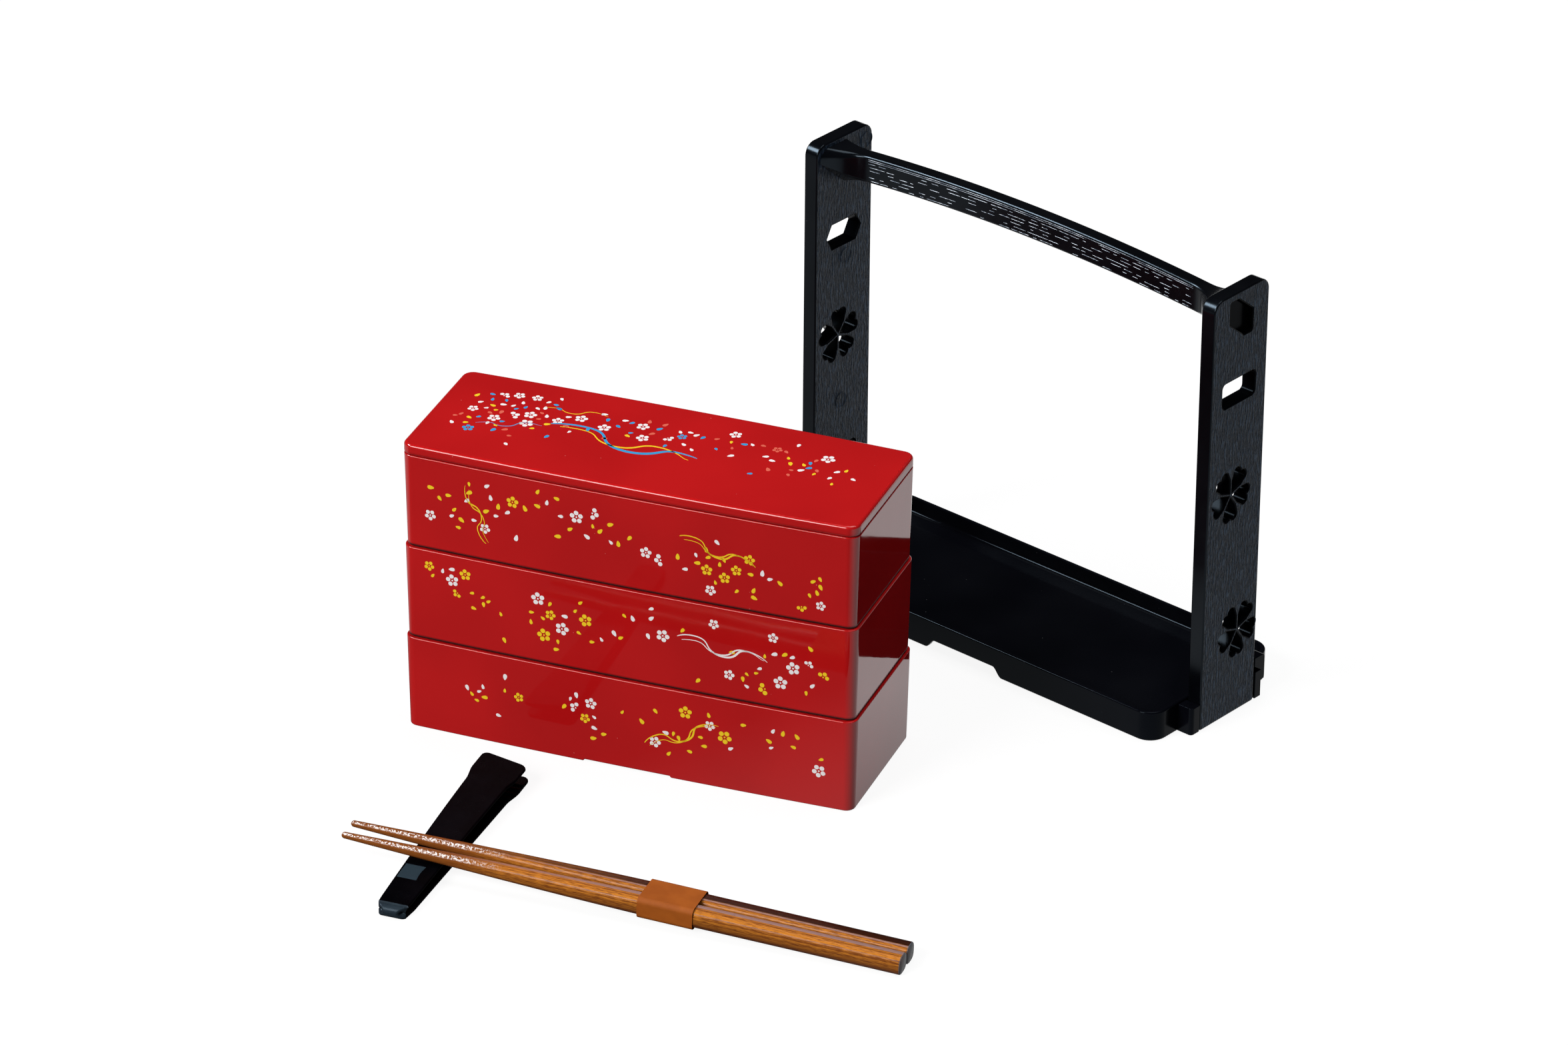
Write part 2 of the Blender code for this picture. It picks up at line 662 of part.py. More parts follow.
def tongs_width(distance):
    """Width of the tongs: a steady taper, a broader tip past the shoulders, round corners."""
    shoulder = TONGS_LENGTH - TONGS_SHOULDER
    share = min(max(distance, 0.0) / shoulder, 1.0)
    width = TONGS_NARROW_WIDTH + (TONGS_WIDE_WIDTH - TONGS_NARROW_WIDTH) * share
    share = min(max(distance - shoulder, 0.0) / (TONGS_SHOULDER / 2), 1.0)
    width += (TONGS_TIP_WIDTH - TONGS_WIDE_WIDTH) * (1 - math.cos(math.pi * share)) / 2
    past = min(max(distance - TONGS_LENGTH + TONGS_TIP_ROUND, 0.0), TONGS_TIP_ROUND)
    return width - 2 * (TONGS_TIP_ROUND - math.sqrt(TONGS_TIP_ROUND ** 2 - past ** 2))


def ribbon_mesh(name, stations, start=0.0, end_skew=0.0):
    """A strip of a given section along a path in the YZ plane, its far end cut askew.

    Each station is (y, z, lean, width, below, above), lean being the path's angle.
    """
    rings = []
    r = TONGS_EDGE_ROUND
    for y, z, lean, width, below, above in stations:
        distance = y + start
        ny, nz = -math.sin(lean), math.cos(lean)
        half = width / 2
        section = [(-half + r, -below), (half - r, -below), (half, -below + r), (half, above - r)]
        section += [(half - r, above), (-half + r, above), (-half, above - r), (-half, -below + r)]
        skew = math.tan(end_skew) * max(distance / TONGS_LENGTH, 0.0) ** 3
        rings.append([(x, y + ny * n - x * skew, z + nz * n) for x, n in section])
    return loft_mesh(name, rings)


def bend_stations(start, end, steps):
    """Stations round the bend, by angle about its axis."""
    radius = TONGS_BEND_RADIUS - TONGS_ARM / 2
    half = TONGS_ARM / 2
    stations = []
    for i in range(steps + 1):
        angle = start + (end - start) * i / steps
        y = TONGS_BEND_RADIUS + radius * math.cos(angle)
        z = TONGS_BEND_RADIUS + radius * math.sin(angle)
        outer_round = 0.8 + 0.2 * abs(math.sin(angle))
        stations.append((y, z, angle - math.pi / 2, TONGS_NARROW_WIDTH * outer_round, half, half))
    return stations


def build_tongs(parent):
    """Two arms of one strip, the upper one turning about the bend."""
    half = TONGS_ARM / 2
    black = (0.008, 0.006, 0.008)
    holder = add_empty("tongs_bend", parent, (*TONGS_AT, 0.0))
    seam = BEND_GAP / TONGS_BEND_RADIUS
    lower = bend_stations(TONGS_SPLIT_ANGLE + seam, math.radians(270), 6)
    end = TONGS_LENGTH
    teeth_start = end - TOOTH_FROM_TIP - TOOTH_COUNT * TOOTH_PITCH
    straight = [TONGS_BEND_RADIUS + (teeth_start - TONGS_BEND_RADIUS) * i / 3 for i in (1, 2)]
    marks = [(y, 0.0) for y in straight]
    for tooth in range(TOOTH_COUNT):
        start = teeth_start + tooth * TOOTH_PITCH
        for share, rise in ((0.0, 0.0), (0.1, 1.0), (0.5, 1.0), (0.6, 0.0)):
            marks.append((start + share * TOOTH_PITCH, rise * TOOTH_HEIGHT))
    marks.append((end, 0.0))
    for y, rise in marks:
        lower.append((y, half, math.pi, tongs_width(y), half + rise, half))
    plastic = make_material("tongs_lower_plastic", black, 0.25)
    add_object("tongs_lower_arm", ribbon_mesh("tongs_lower_arm", lower), plastic, holder)
    upper = bend_stations(TONGS_SPLIT_ANGLE, math.radians(90), 5)
    shoulder = end - TONGS_SHOULDER
    steps = [shoulder * i / 6 for i in range(1, 7)]
    steps += [shoulder + TONGS_SHOULDER * share / 8 for share in (1, 2, 3, 4)]
    steps += [end - TONGS_TIP_ROUND * share for share in (1.0, 0.5, 0.15, 0.0)]
    for y in steps:
        ahead = tongs_top(min(y + half, end)) - tongs_top(y - half)
        lean = math.atan2(-ahead, -(min(y + half, end) - y + half)) + math.pi
        upper.append((y, tongs_top(y) - half, lean, tongs_width(y), half, half))
    upper = [(y - TONGS_BEND_RADIUS, z - TONGS_BEND_RADIUS, lean, width, below, above)
             for y, z, lean, width, below, above in upper]
    plastic = make_material("tongs_upper_plastic", black, 0.25)
    at = (0, TONGS_BEND_RADIUS, TONGS_BEND_RADIUS)
    mesh = ribbon_mesh("tongs_upper_arm", upper, TONGS_BEND_RADIUS, TONGS_END_SKEW)
    add_object("tongs_upper_arm", mesh, plastic, holder, at)


def centre_set(root):
    """Shift the whole set so that the origin is under the middle of its extent."""
    bpy.context.view_layer.update()
    graph = bpy.context.evaluated_depsgraph_get()
    points = []
    for obj in bpy.context.scene.objects:
        if obj.type == "MESH" and not obj.hide_render:
            shown = obj.evaluated_get(graph)
            points += [shown.matrix_world @ vert.co for vert in shown.data.vertices]
    for axis in (0, 1):
        values = [point[axis] for point in points]
        root.location[axis] = -(min(values) + max(values)) / 2
    root.location[2] = -min(point.z for point in points)
    bpy.context.view_layer.update()


def shade_pieces():
    """Smooth shading with sharp edges kept."""
    for obj in bpy.context.scene.objects:
        if obj.type == "MESH":
            obj.data.shade_smooth()
            obj.data.set_sharp_from_angle(angle=math.radians(35))


def main():
    for obj in list(bpy.data.objects):
        bpy.data.objects.remove(obj, do_unlink=True)
    root = add_empty("picnic_set", None)
    build_stack(root)
    carrier = add_empty("carrier", root, (*CARRIER_AT, 0.0), (0, 0, CARRIER_TURN))
    build_tray(carrier)
    build_posts(carrier)
    build_handle(carrier)
    build_chopsticks(root)
    build_tongs(root)
    centre_set(root)
    shade_pieces()
    print("set origin is at", tuple(round(value, 6) for value in root.location))


main()
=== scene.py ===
import json
import random
from math import atan2, cos, hypot, pi, radians, sin, sqrt, tan

import bmesh
import bpy
from mathutils import Matrix, Vector
from mathutils.geometry import tessellate_polygon

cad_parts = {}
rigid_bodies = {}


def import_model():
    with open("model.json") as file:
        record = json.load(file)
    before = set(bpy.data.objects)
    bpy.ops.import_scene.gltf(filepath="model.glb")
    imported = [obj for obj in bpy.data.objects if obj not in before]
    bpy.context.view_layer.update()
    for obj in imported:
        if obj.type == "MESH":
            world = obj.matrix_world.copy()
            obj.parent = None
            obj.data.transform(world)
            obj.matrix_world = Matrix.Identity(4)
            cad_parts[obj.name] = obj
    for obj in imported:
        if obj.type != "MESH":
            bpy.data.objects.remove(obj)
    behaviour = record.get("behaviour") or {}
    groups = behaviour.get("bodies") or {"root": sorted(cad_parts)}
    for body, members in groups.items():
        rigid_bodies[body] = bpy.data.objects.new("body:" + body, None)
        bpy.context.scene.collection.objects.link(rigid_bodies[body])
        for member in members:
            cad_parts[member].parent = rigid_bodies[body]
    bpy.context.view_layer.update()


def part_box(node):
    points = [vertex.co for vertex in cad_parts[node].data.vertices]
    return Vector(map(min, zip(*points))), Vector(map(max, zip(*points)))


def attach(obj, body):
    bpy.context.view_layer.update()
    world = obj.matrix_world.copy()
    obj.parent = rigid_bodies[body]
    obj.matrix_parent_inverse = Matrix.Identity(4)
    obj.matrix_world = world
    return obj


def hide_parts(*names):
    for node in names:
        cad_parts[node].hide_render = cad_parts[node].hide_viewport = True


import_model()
quarter = pi / 2
fullTurn = 2 * pi

# Where the four groups stand, read from the frame
lidLow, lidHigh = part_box("box_lid")
barLow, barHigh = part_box("handle_bar")
armLow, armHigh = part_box("tongs_lower_arm")
groupPlaces = {
    "carrierTurn": radians(-20.6),
    "sticksEnd": (0.1451, -0.1254),  # thick end of the chopsticks from the middle of the stack
    "sticksRise": 0.003748,
    "sticksTilt": radians(1.69284),
}
stackPlace = Matrix.Translation(((lidLow[0] + lidHigh[0]) / 2, (lidLow[1] + lidHigh[1]) / 2, 0))
carrierPlace = Matrix.Translation(((barLow[0] + barHigh[0]) / 2, (barLow[1] + barHigh[1]) / 2, 0))
carrierPlace = carrierPlace @ Matrix.Rotation(groupPlaces["carrierTurn"], 4, "Z")
tongsPlace = Matrix.Translation(((armLow[0] + armHigh[0]) / 2, armLow[1], 0))
sticksPlace = stackPlace @ Matrix.Translation((*groupPlaces["sticksEnd"], groupPlaces["sticksRise"]))
sticksPlace = sticksPlace @ Matrix.Rotation(groupPlaces["sticksTilt"], 4, "Y")


def addObject(name, data):
    made = bpy.data.objects.new(name, data)
    bpy.context.scene.collection.objects.link(made)
    return made


# Camera

cameraView = {
    "place": (0.917295, -2.487189, 1.54579),
    "look": (-0.306912, 0.821597, -0.4804),
    "roll": radians(-0.5),
    "lens": 187.56,
    "sensor": 36,
    "farClip": 20,
}


def aimCamera():
    look = Vector(cameraView["look"]).normalized()
    level = look.cross(Vector((0, 0, 1))).normalized()
    upright = level.cross(look)
    right = cos(cameraView["roll"]) * level - sin(cameraView["roll"]) * upright
    data = bpy.data.cameras.new("photoCamera")
    data.lens = cameraView["lens"]
    data.sensor_width = cameraView["sensor"]
    data.clip_end = cameraView["farClip"]
    camera = addObject("photoCamera", data)
    turn = Matrix((right, right.cross(look), -look)).transposed().to_4x4()
    camera.matrix_world = Matrix.Translation(cameraView["place"]) @ turn
    bpy.context.scene.camera = camera


aimCamera()
print("camera aimed")


# Node helpers: addNode returns the outputs, and the others find their tree from a socket that they are given

def feed(socket, value):
    if isinstance(value, bpy.types.NodeSocket):
        socket.id_data.links.new(value, socket)
    else:
        socket.default_value = value


def addNode(tree, kind, given=None, **settings):
    node = tree.nodes.new(kind)
    for key, value in settings.items():
        setattr(node, key, value)
    for key, value in (given or {}).items():
        feed(node.inputs[key], value)
    return node.outputs


def treeOf(values):
    return next(value.id_data for value in values if isinstance(value, bpy.types.NodeSocket))


def calc(operation, *values):
    return addNode(treeOf(values), "ShaderNodeMath", dict(enumerate(values)), operation=operation)[0]


def plus(first, second):
    return calc("ADD", first, second)


def minus(first, second):
    return calc("SUBTRACT", first, second)


def times(first, *others):
    for other in others:
        first = calc("MULTIPLY", first, other)
    return first


def over(first, second):
    return calc("DIVIDE", first, second)


def ramp(value, low, high, first=0.0, last=1.0):
    given = dict(enumerate((value, low, high, first, last)))
    return addNode(value.id_data, "ShaderNodeMapRange", given, clamp=True)[0]


def blend(share, first, second):
    given = {0: share}
    for place, colour in ((6, first), (7, second)):
        given[place] = colour if isinstance(colour, bpy.types.NodeSocket) else (*colour, 1)
    return addNode(share.id_data, "ShaderNodeMix", given, data_type="RGBA")[2]


noiseSpan = (0.3, 0.7)  # the values that most of a noise lies between


def noise(vector, scale, detail=2.0, roughness=0.5, stretch=None):
    if stretch:
        vector = addNode(vector.id_data, "ShaderNodeMapping", {"Vector": vector, "Scale": stretch})[0]
    given = {"Vector": vector, "Scale": scale, "Detail": detail, "Roughness": roughness}
    return addNode(vector.id_data, "ShaderNodeTexNoise", given)[0]


def split(vector):
    return addNode(vector.id_data, "ShaderNodeSeparateXYZ", {0: vector})


def join(tree, x, y, z=0.0):
    return addNode(tree, "ShaderNodeCombineXYZ", {0: x, 1: y, 2: z})[0]


def newGroup(name, inputs, outputs, kind="ShaderNodeTree"):
    # Each socket has the name of its kind, or a number as its default
    group = bpy.data.node_groups.new(name, kind)
    for way, sockets in (("INPUT", inputs), ("OUTPUT", outputs)):
        for label, value in sockets.items():
            sort = value if isinstance(value, str) else "Int" if isinstance(value, int) else "Float"
            socket = group.interface.new_socket(label, in_out=way, socket_type="NodeSocket" + sort)
            if sort != value:
                socket.default_value = value
    return group, group.nodes.new("NodeGroupInput").outputs, group.nodes.new("NodeGroupOutput").inputs


def useGroup(group, **values):
    return addNode(treeOf(values.values()), "ShaderNodeGroup", values, node_tree=group)


def blankMaterial(name):
    material = bpy.data.materials.new(name)
    material.use_nodes = True
    return material, material.node_tree, material.node_tree.nodes["Principled BSDF"]


def objectCoords(tree):
    return addNode(tree, "ShaderNodeTexCoord")["Object"]


def dressShader(shader, tone, rough, look, height=None):
    feed(shader.inputs["Base Color"], tone)
    feed(shader.inputs["Roughness"], rough)
    shader.inputs["Specular IOR Level"].default_value = look["level"]
    if "tint" in look:
        shader.inputs["Specular Tint"].default_value = look["tint"]
    if height:
        depth, strength = look["bump"]
        given = {"Height": height, "Distance": depth, "Strength": strength}
        feed(shader.inputs["Normal"], addNode(height.id_data, "ShaderNodeBump", given)[0])


# Effects that several finishes share

def makeSpeckGroup():
    group, given, result = newGroup("dustSpecks", {
        "Vector": "Vector", "Scale": 260.0, "Size": 0.05, "Share": 0.3}, {"Specks": "Float"})
    cells = addNode(group, "ShaderNodeTexVoronoi", {"Vector": given["Vector"], "Scale": given["Scale"]})
    chance = addNode(group, "ShaderNodeSeparateColor", {0: cells["Color"]})
    near = calc("LESS_THAN", cells["Distance"], times(given["Size"], chance[1]))
    feed(result["Specks"], times(near, calc("LESS_THAN", chance[0], given["Share"])))
    return group


def makeCloudGroup():
    group, given, result = newGroup(
        "softClouds", {"Vector": "Vector", "Scale": 14.0}, {"Clouds": "Float", "Ripple": "Float"})
    feed(result["Clouds"], ramp(noise(given["Vector"], given["Scale"]), 0.38, 0.62))
    feed(result["Ripple"], noise(given["Vector"], times(given["Scale"], 3.0), 1.0))
    return group


def makeBarkGroup():
    group, given, result = newGroup("barkGrain", {
        "Vector": "Vector", "Scale": 1300.0, "Length": 0.09}, {"Ridges": "Float", "Fine": "Float"})
    parts = split(given["Vector"])
    flat = join(group, parts[0], times(parts[1], given["Length"]))
    feed(result["Ridges"], ramp(noise(flat, given["Scale"], 3.0, 0.6), 0.42, 0.6))
    feed(result["Fine"], noise(flat, times(given["Scale"], 3.1), 1.0))
    return group


speckGroup = makeSpeckGroup()
cloudGroup = makeCloudGroup()
barkGroup = makeBarkGroup()

# Finishes. Specks are dust: scale, size and share, then how much they show in tone and in roughness.
# A mask is an attribute of the mesh, its tone and what it adds to the roughness. A bump is depth and strength.

blueTint = (0.64, 0.83, 1.0, 1.0)
satinLook = {
    "clouds": 40.0, "tones": ((0.001, 0.0012, 0.002), (0.0022, 0.0026, 0.0038)), "rough": (0.16, 0.24),
    "specks": (420.0, 0.08, 0.12, 1.0, 0.0), "dust": (0.05, 0.05, 0.055), "tint": blueTint, "bump": (0.0003, 0.2),
}
tongsLook = {
    "clouds": 70.0, "tones": ((0.0006, 0.0006, 0.0011), (0.0014, 0.0014, 0.0024)), "rough": (0.26, 0.34),
    "specks": (500.0, 0.1, 0.22, 0.3, 0.0), "dust": (0.06, 0.06, 0.07),
    # The mask gives the thumb pad a rougher finish and a lighter blue-grey tone. The tone is a painted highlight where
    # its flat facet catches the light.
    "mask": ("padShade", (0.022, 0.036, 0.048), 0.2), "tint": blueTint, "bump": (0.0002, 0.25),
}
plasticLooks = {
    "lacquer": {
        "name": "redLacquer", "clouds": 16.0, "tones": ((0.44, 0.006, 0.007), (0.5, 0.0075, 0.0085)),
        "rough": (0.025, 0.06), "specks": (230.0, 0.055, 0.16, 0.5, 0.4), "dust": (0.75, 0.35, 0.33),
        # The mask is painted shade: it darkens the lacquer to near black along the seams between the pieces.
        "mask": ("seamShade", (0.006, 0.0005, 0.0006), 0.5), "level": 0.42, "bump": (0.0004, 0.12),
    },
    "glossBlack": {
        "name": "glossBlackPlastic", "clouds": 22.0, "tones": ((0.0017, 0.0019, 0.0035), (0.0036, 0.004, 0.006)),
        "rough": (0.11, 0.17), "specks": (330.0, 0.09, 0.2, 0.5, 0.3), "dust": (0.1, 0.1, 0.11),
        "level": 0.05, "tint": blueTint, "bump": (0.0004, 0.1),
    },
    "satin": {**satinLook, "name": "satinBlackPlastic", "level": 0.14},
    "holeSatin": {**satinLook, "name": "holeBlackPlastic", "level": 0.02},
    "barSatin": {**satinLook, "name": "barBlackPlastic", "level": 0.2},
    # The dashes are real raised grain, and their pale blue-white tone is a painted glint.
    "dash": {"name": "barDashPlastic", "clouds": 300.0, "tones": ((0.16, 0.21, 0.28), (0.76, 0.86, 0.98)),
             "rough": (0.25, 0.4), "level": 0.5},
    "tongs": {**tongsLook, "name": "tongsBlackPlastic", "level": 0.012},
    # The end finish is a painted highlight: a lighter blue-grey tone, with more gloss, on the bend at the narrow end.
    "tongsEnd": {**tongsLook, "name": "tongsWornPlastic", "level": 0.1,
                 "tones": ((0.012, 0.018, 0.026), (0.022, 0.036, 0.048))},
}


def makePlastic(look):
    material, tree, shader = blankMaterial(look["name"])
    coords = objectCoords(tree)
    clouds = useGroup(cloudGroup, Vector=coords, Scale=look["clouds"])
    tone = blend(clouds["Clouds"], *look["tones"])
    rough = ramp(clouds["Ripple"], *noiseSpan, *look["rough"])
    if "specks" in look:
        scale, size, share, shown, rougher = look["specks"]
        specks = useGroup(speckGroup, Vector=coords, Scale=scale, Size=size, Share=share)[0]
        tone = blend(times(specks, shown), tone, look["dust"])
        if rougher:
            rough = plus(rough, times(specks, rougher))
    if "mask" in look:
        label, masked, rougher = look["mask"]
        mask = addNode(tree, "ShaderNodeAttribute", attribute_name=label)["Fac"]
        tone = blend(mask, tone, masked)
        rough = plus(rough, times(mask, rougher))
    dressShader(shader, tone, rough, look, clouds["Ripple"] if "bump" in look else None)
    return material


barkLook = {"low": (0.0045, 0.01, 0.021), "high": (0.064, 0.106, 0.17), "scale": 1250.0, "length": 0.17,
            "rough": (0.34, 0.46), "fineRelief": 0.3, "level": 0.1, "tint": blueTint, "bump": (0.0011, 1.0)}


def makeBarkBlack():
    material, tree, shader = blankMaterial("barkGrainedPlastic")
    way = addNode(tree, "ShaderNodeUVMap", uv_map="faceWay")[0]
    bark = useGroup(barkGroup, Vector=way, Scale=barkLook["scale"], Length=barkLook["length"])
    tone = blend(bark["Ridges"], barkLook["low"], barkLook["high"])
    rough = ramp(bark["Fine"], *noiseSpan, *barkLook["rough"])
    dressShader(shader, tone, rough, barkLook, plus(bark["Ridges"], times(bark["Fine"], barkLook["fineRelief"])))
    return material


woodLook = {
    "gold": (0.56, 0.195, 0.022), "amber": (0.21, 0.058, 0.01), "dark": (0.022, 0.005, 0.003),
    # The pale stripe tone is a painted highlight along the top of each stick.
    "cutEnd": (0.12, 0.13, 0.15), "low": (0.09, 0.022, 0.007), "paintedSheen": (0.28, 0.2, 0.21),
    # The whitish tip tone is partly a painted glint, laid only along the top-front edge of the tips.
    "tip": (0.19, 0.053, 0.01), "tipFrostAndGlint": (0.9, 0.84, 0.82), "tipStart": 0.045, "tipEnd": 0.064,
    "cutAt": 0.21785, "stripes": (3.0, 34.0, 1.0), "flecks": (260.0, 70.0, 1.0), "pits": (330.0, 110.0, 1.0),
    "frostAndGlintScale": 1250.0, "heartWidth": 0.13, "rearHeart": 0.18, "paintedSheenWidth": 0.12, "rearPaintedSheen": -0.092,
    "shiftFront": 2.0, "shiftRear": 4.0, "rough": (0.19, 0.27), "level": 0.12, "bump": (0.00005, 0.25),
    "shown": {"low": 0.9, "paintedSheen": 0.75, "dark": 0.97, "pits": 0.55, "tip": 0.85, "tipFrostAndGlint": 0.9, "cutEnd": 0.85},
}


def makeWood():
    look, shown = woodLook, woodLook["shown"]
    material, tree, shader = blankMaterial("stickWood")
    way = addNode(tree, "ShaderNodeUVMap", uv_map="stickWay")[0]
    along, around = split(way)[:2]
    stripes = noise(way, 1.0, 3.0, 0.6, look["stripes"])
    flecks = noise(way, 1.0, 2.0, 0.6, look["flecks"])
    # Dark heartwood lies along the back of each stick, a pale stripe beside it that is a painted highlight of the
    # gloss, and darker wood low on its front.
    # The heartwood is broad and the painted highlight stripe thin on the rear stick, whose grain shift is the larger
    # one.
    rear = calc("GREATER_THAN", around, 3.5)
    side = plus(calc("FRACT", around), times(minus(stripes, 0.5), 0.06))
    grown = ramp(along, 0.02, 0.12, 0.25, 1.0)
    past = minus(side, plus(look["heartWidth"], times(rear, look["rearHeart"])))
    heart = calc("MAXIMUM", ramp(past, -0.01, 0.01, 1.0, 0.0), ramp(side, 0.9, 0.95))
    pastPaintedSheen = minus(past, plus(look["paintedSheenWidth"], times(rear, look["rearPaintedSheen"])))
    paintedSheen = times(ramp(past, -0.005, 0.012), ramp(pastPaintedSheen, -0.01, 0.01, 1.0, 0.0))
    grain = plus(ramp(stripes, 0.36, 0.64), ramp(flecks, 0.35, 0.65, -0.55, 0.55))
    tone = blend(ramp(grain, 0.0, 1.0), look["gold"], look["amber"])
    tone = blend(times(ramp(side, 0.43, 0.58, 0.0, shown["low"]), grown), tone, look["low"])
    tone = blend(times(paintedSheen, grown, shown["paintedSheen"]), tone, look["paintedSheen"])
    tone = blend(times(heart, grown, shown["dark"]), tone, look["dark"])
    pits = noise(way, 1.0, 1.0, stretch=look["pits"])
    tone = blend(ramp(pits, 0.66, 0.72, 0.0, shown["pits"]), tone, look["dark"])
    tip = ramp(along, look["tipStart"], look["tipEnd"], 1.0, 0.0)
    tone = blend(times(tip, shown["tip"]), tone, look["tip"])
    # Pale specks near the tips: a real non-slip texture in roughness and bump, and a painted glint in their whitish
    # tone, kept to the top-front edge.
    facing = ramp(calc("COSINE", times(minus(around, 0.35), fullTurn)), 0.9, 0.99)
    frostAndGlint = times(ramp(noise(objectCoords(tree), look["frostAndGlintScale"], 2.0, 0.7), 0.5, 0.54), tip, facing)
    tone = blend(times(frostAndGlint, shown["tipFrostAndGlint"]), tone, look["tipFrostAndGlint"])
    cut = ramp(along, look["cutAt"], look["cutAt"] + 0.0001)
    tone = blend(times(cut, shown["cutEnd"]), tone, look["cutEnd"])
    rough = plus(ramp(stripes, *noiseSpan, *look["rough"]), times(frostAndGlint, 0.2))
    dressShader(shader, tone, rough, look, plus(frostAndGlint, times(flecks, 0.15)))
    return material


paperLook = {"orange": (0.35, 0.088, 0.009), "shade": (0.3, 0.072, 0.007), "fibre": (0.55, 0.17, 0.05),
             "fibreScale": 2600.0, "cloudScale": 120.0, "rough": (0.55, 0.72), "level": 0.1, "bump": (0.00003, 0.6)}


def makePaper():
    material, tree, shader = blankMaterial("bandPaper")
    coords = objectCoords(tree)
    fibres = noise(coords, paperLook["fibreScale"], 3.0, 0.7)
    clouds = useGroup(cloudGroup, Vector=coords, Scale=paperLook["cloudScale"])["Clouds"]
    tone = blend(clouds, paperLook["shade"], paperLook["orange"])
    tone = blend(ramp(fibres, 0.55, 0.75, 0.0, 0.2), tone, paperLook["fibre"])
    dressShader(shader, tone, ramp(fibres, *noiseSpan, *paperLook["rough"]), paperLook, fibres)
    return material


inkLook = {"worn": (0.5, 0.05, 0.04), "wear": 0.35, "grainScale": 2200.0, "rough": (0.3, 0.45), "level": 0.12}


def makeInk():
    material, tree, shader = blankMaterial("printInk")
    ink = addNode(tree, "ShaderNodeAttribute", attribute_name="inkColour")["Color"]
    grain = noise(objectCoords(tree), inkLook["grainScale"], 2.0, 0.6)
    tone = blend(ramp(grain, 0.58, 0.75, 0.0, inkLook["wear"]), ink, inkLook["worn"])
    dressShader(shader, tone, ramp(grain, *noiseSpan, *inkLook["rough"]), inkLook)
    return material


finishes = {key: makePlastic(look) for key, look in plasticLooks.items()}
finishes.update({"bark": makeBarkBlack(), "wood": makeWood(), "paper": makePaper(), "ink": makeInk()})
print("finishes made:", len(finishes))


# Shape helpers

def evenly(start, end, steps):
    return [start + (end - start) * i / steps for i in range(steps + 1)]


def clamped(share):
    return min(max(share, 0.0), 1.0)


def eased(share):
    return (1 - cos(pi * clamped(share))) / 2


def arc(across, level, radius, start, end, steps):
    return [(across + radius * cos(t), level + radius * sin(t)) for t in evenly(start, end, steps)]


def circle(across, level, radius, count):
    return arc(across, level, radius, 0.0, fullTurn, count)[:-1]


def turned(points, turn, centre=(0.0, 0.0)):
    wayX, wayY = cos(turn), sin(turn)
    return [(centre[0] + a * wayX - b * wayY, centre[1] + a * wayY + b * wayX) for a, b in points]


def arcBox(y, z, radius, steps, level=0.0):
    points = []
    for i, (sy, sz) in enumerate(((1, -1), (1, 1), (-1, 1), (-1, -1))):
        points += arc(sy * y, level + sz * z, radius, (i - 1) * quarter, i * quarter, steps)
    return points


def softOutline(length, width, radius, bow, inset, stations, steps=12, leastRadius=0.0004):
    corner = max(radius - inset, leastRadius)
    cx, cy = length / 2 - inset - corner, width / 2 - inset - corner
    outer = width / 2 - inset
    points = arc(cx, -cy, corner, -quarter, 0, steps) + arc(cx, cy, corner, 0, quarter, steps)
    points += [(-x, outer + bow * (1 - (x / cx) ** 2)) for x in stations]
    points += arc(-cx, cy, corner, quarter, 2 * quarter, steps)
    points += arc(-cx, -cy, corner, 2 * quarter, 3 * quarter, steps)
    return points + [(x, -outer - bow * (1 - (x / cx) ** 2)) for x in stations]


def sideStations(reach, count, extra, nearest=0.0012):
    kept = [x for x in evenly(-reach, reach, count)[1:-1] if all(abs(abs(x) - e) > nearest for e in extra)]
    return sorted(kept + list(extra) + [-e for e in extra])


def addSkin(bm, rows, look=0):
    for low, high in zip(rows, rows[1:]):
        for i in range(len(low)):
            j = (i + 1) % len(low)
            bm.faces.new((low[i], low[j], high[j], high[i])).material_index = look


def loft(rings, bm=None, closed=False):
    bm = bm or bmesh.new()
    rows = [[bm.verts.new(point) for point in ring] for ring in rings]
    addSkin(bm, rows + rows[:1] if closed else rows)
    if not closed:
        bm.faces.new(list(reversed(rows[0])))
        bm.faces.new(rows[-1])
    return bm


def toMesh(bm, name):
    mesh = bpy.data.meshes.new(name)
    bm.to_mesh(mesh)
    bm.free()
    return mesh


def settlePiece(mesh, place, body, nodes, sharp=40, even=False):
    mesh.transform(place)
    mesh.shade_smooth()
    mesh.set_sharp_from_angle(angle=radians(sharp))
    piece = addObject(mesh.name, mesh)
    if even:
        piece.modifiers.new("evenNormals", "WEIGHTED_NORMAL").keep_sharp = True
    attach(piece, body)
    if nodes:
        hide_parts(*nodes)
    return piece


def finishPiece(bm, name, place, looks, body, nodes):
    bmesh.ops.recalc_face_normals(bm, faces=bm.faces)
    mesh = toMesh(bm, name)
    for look in looks:
        mesh.materials.append(finishes[look])
    return settlePiece(mesh, place, body, nodes, even=True)


# The box: three tiers and a lid

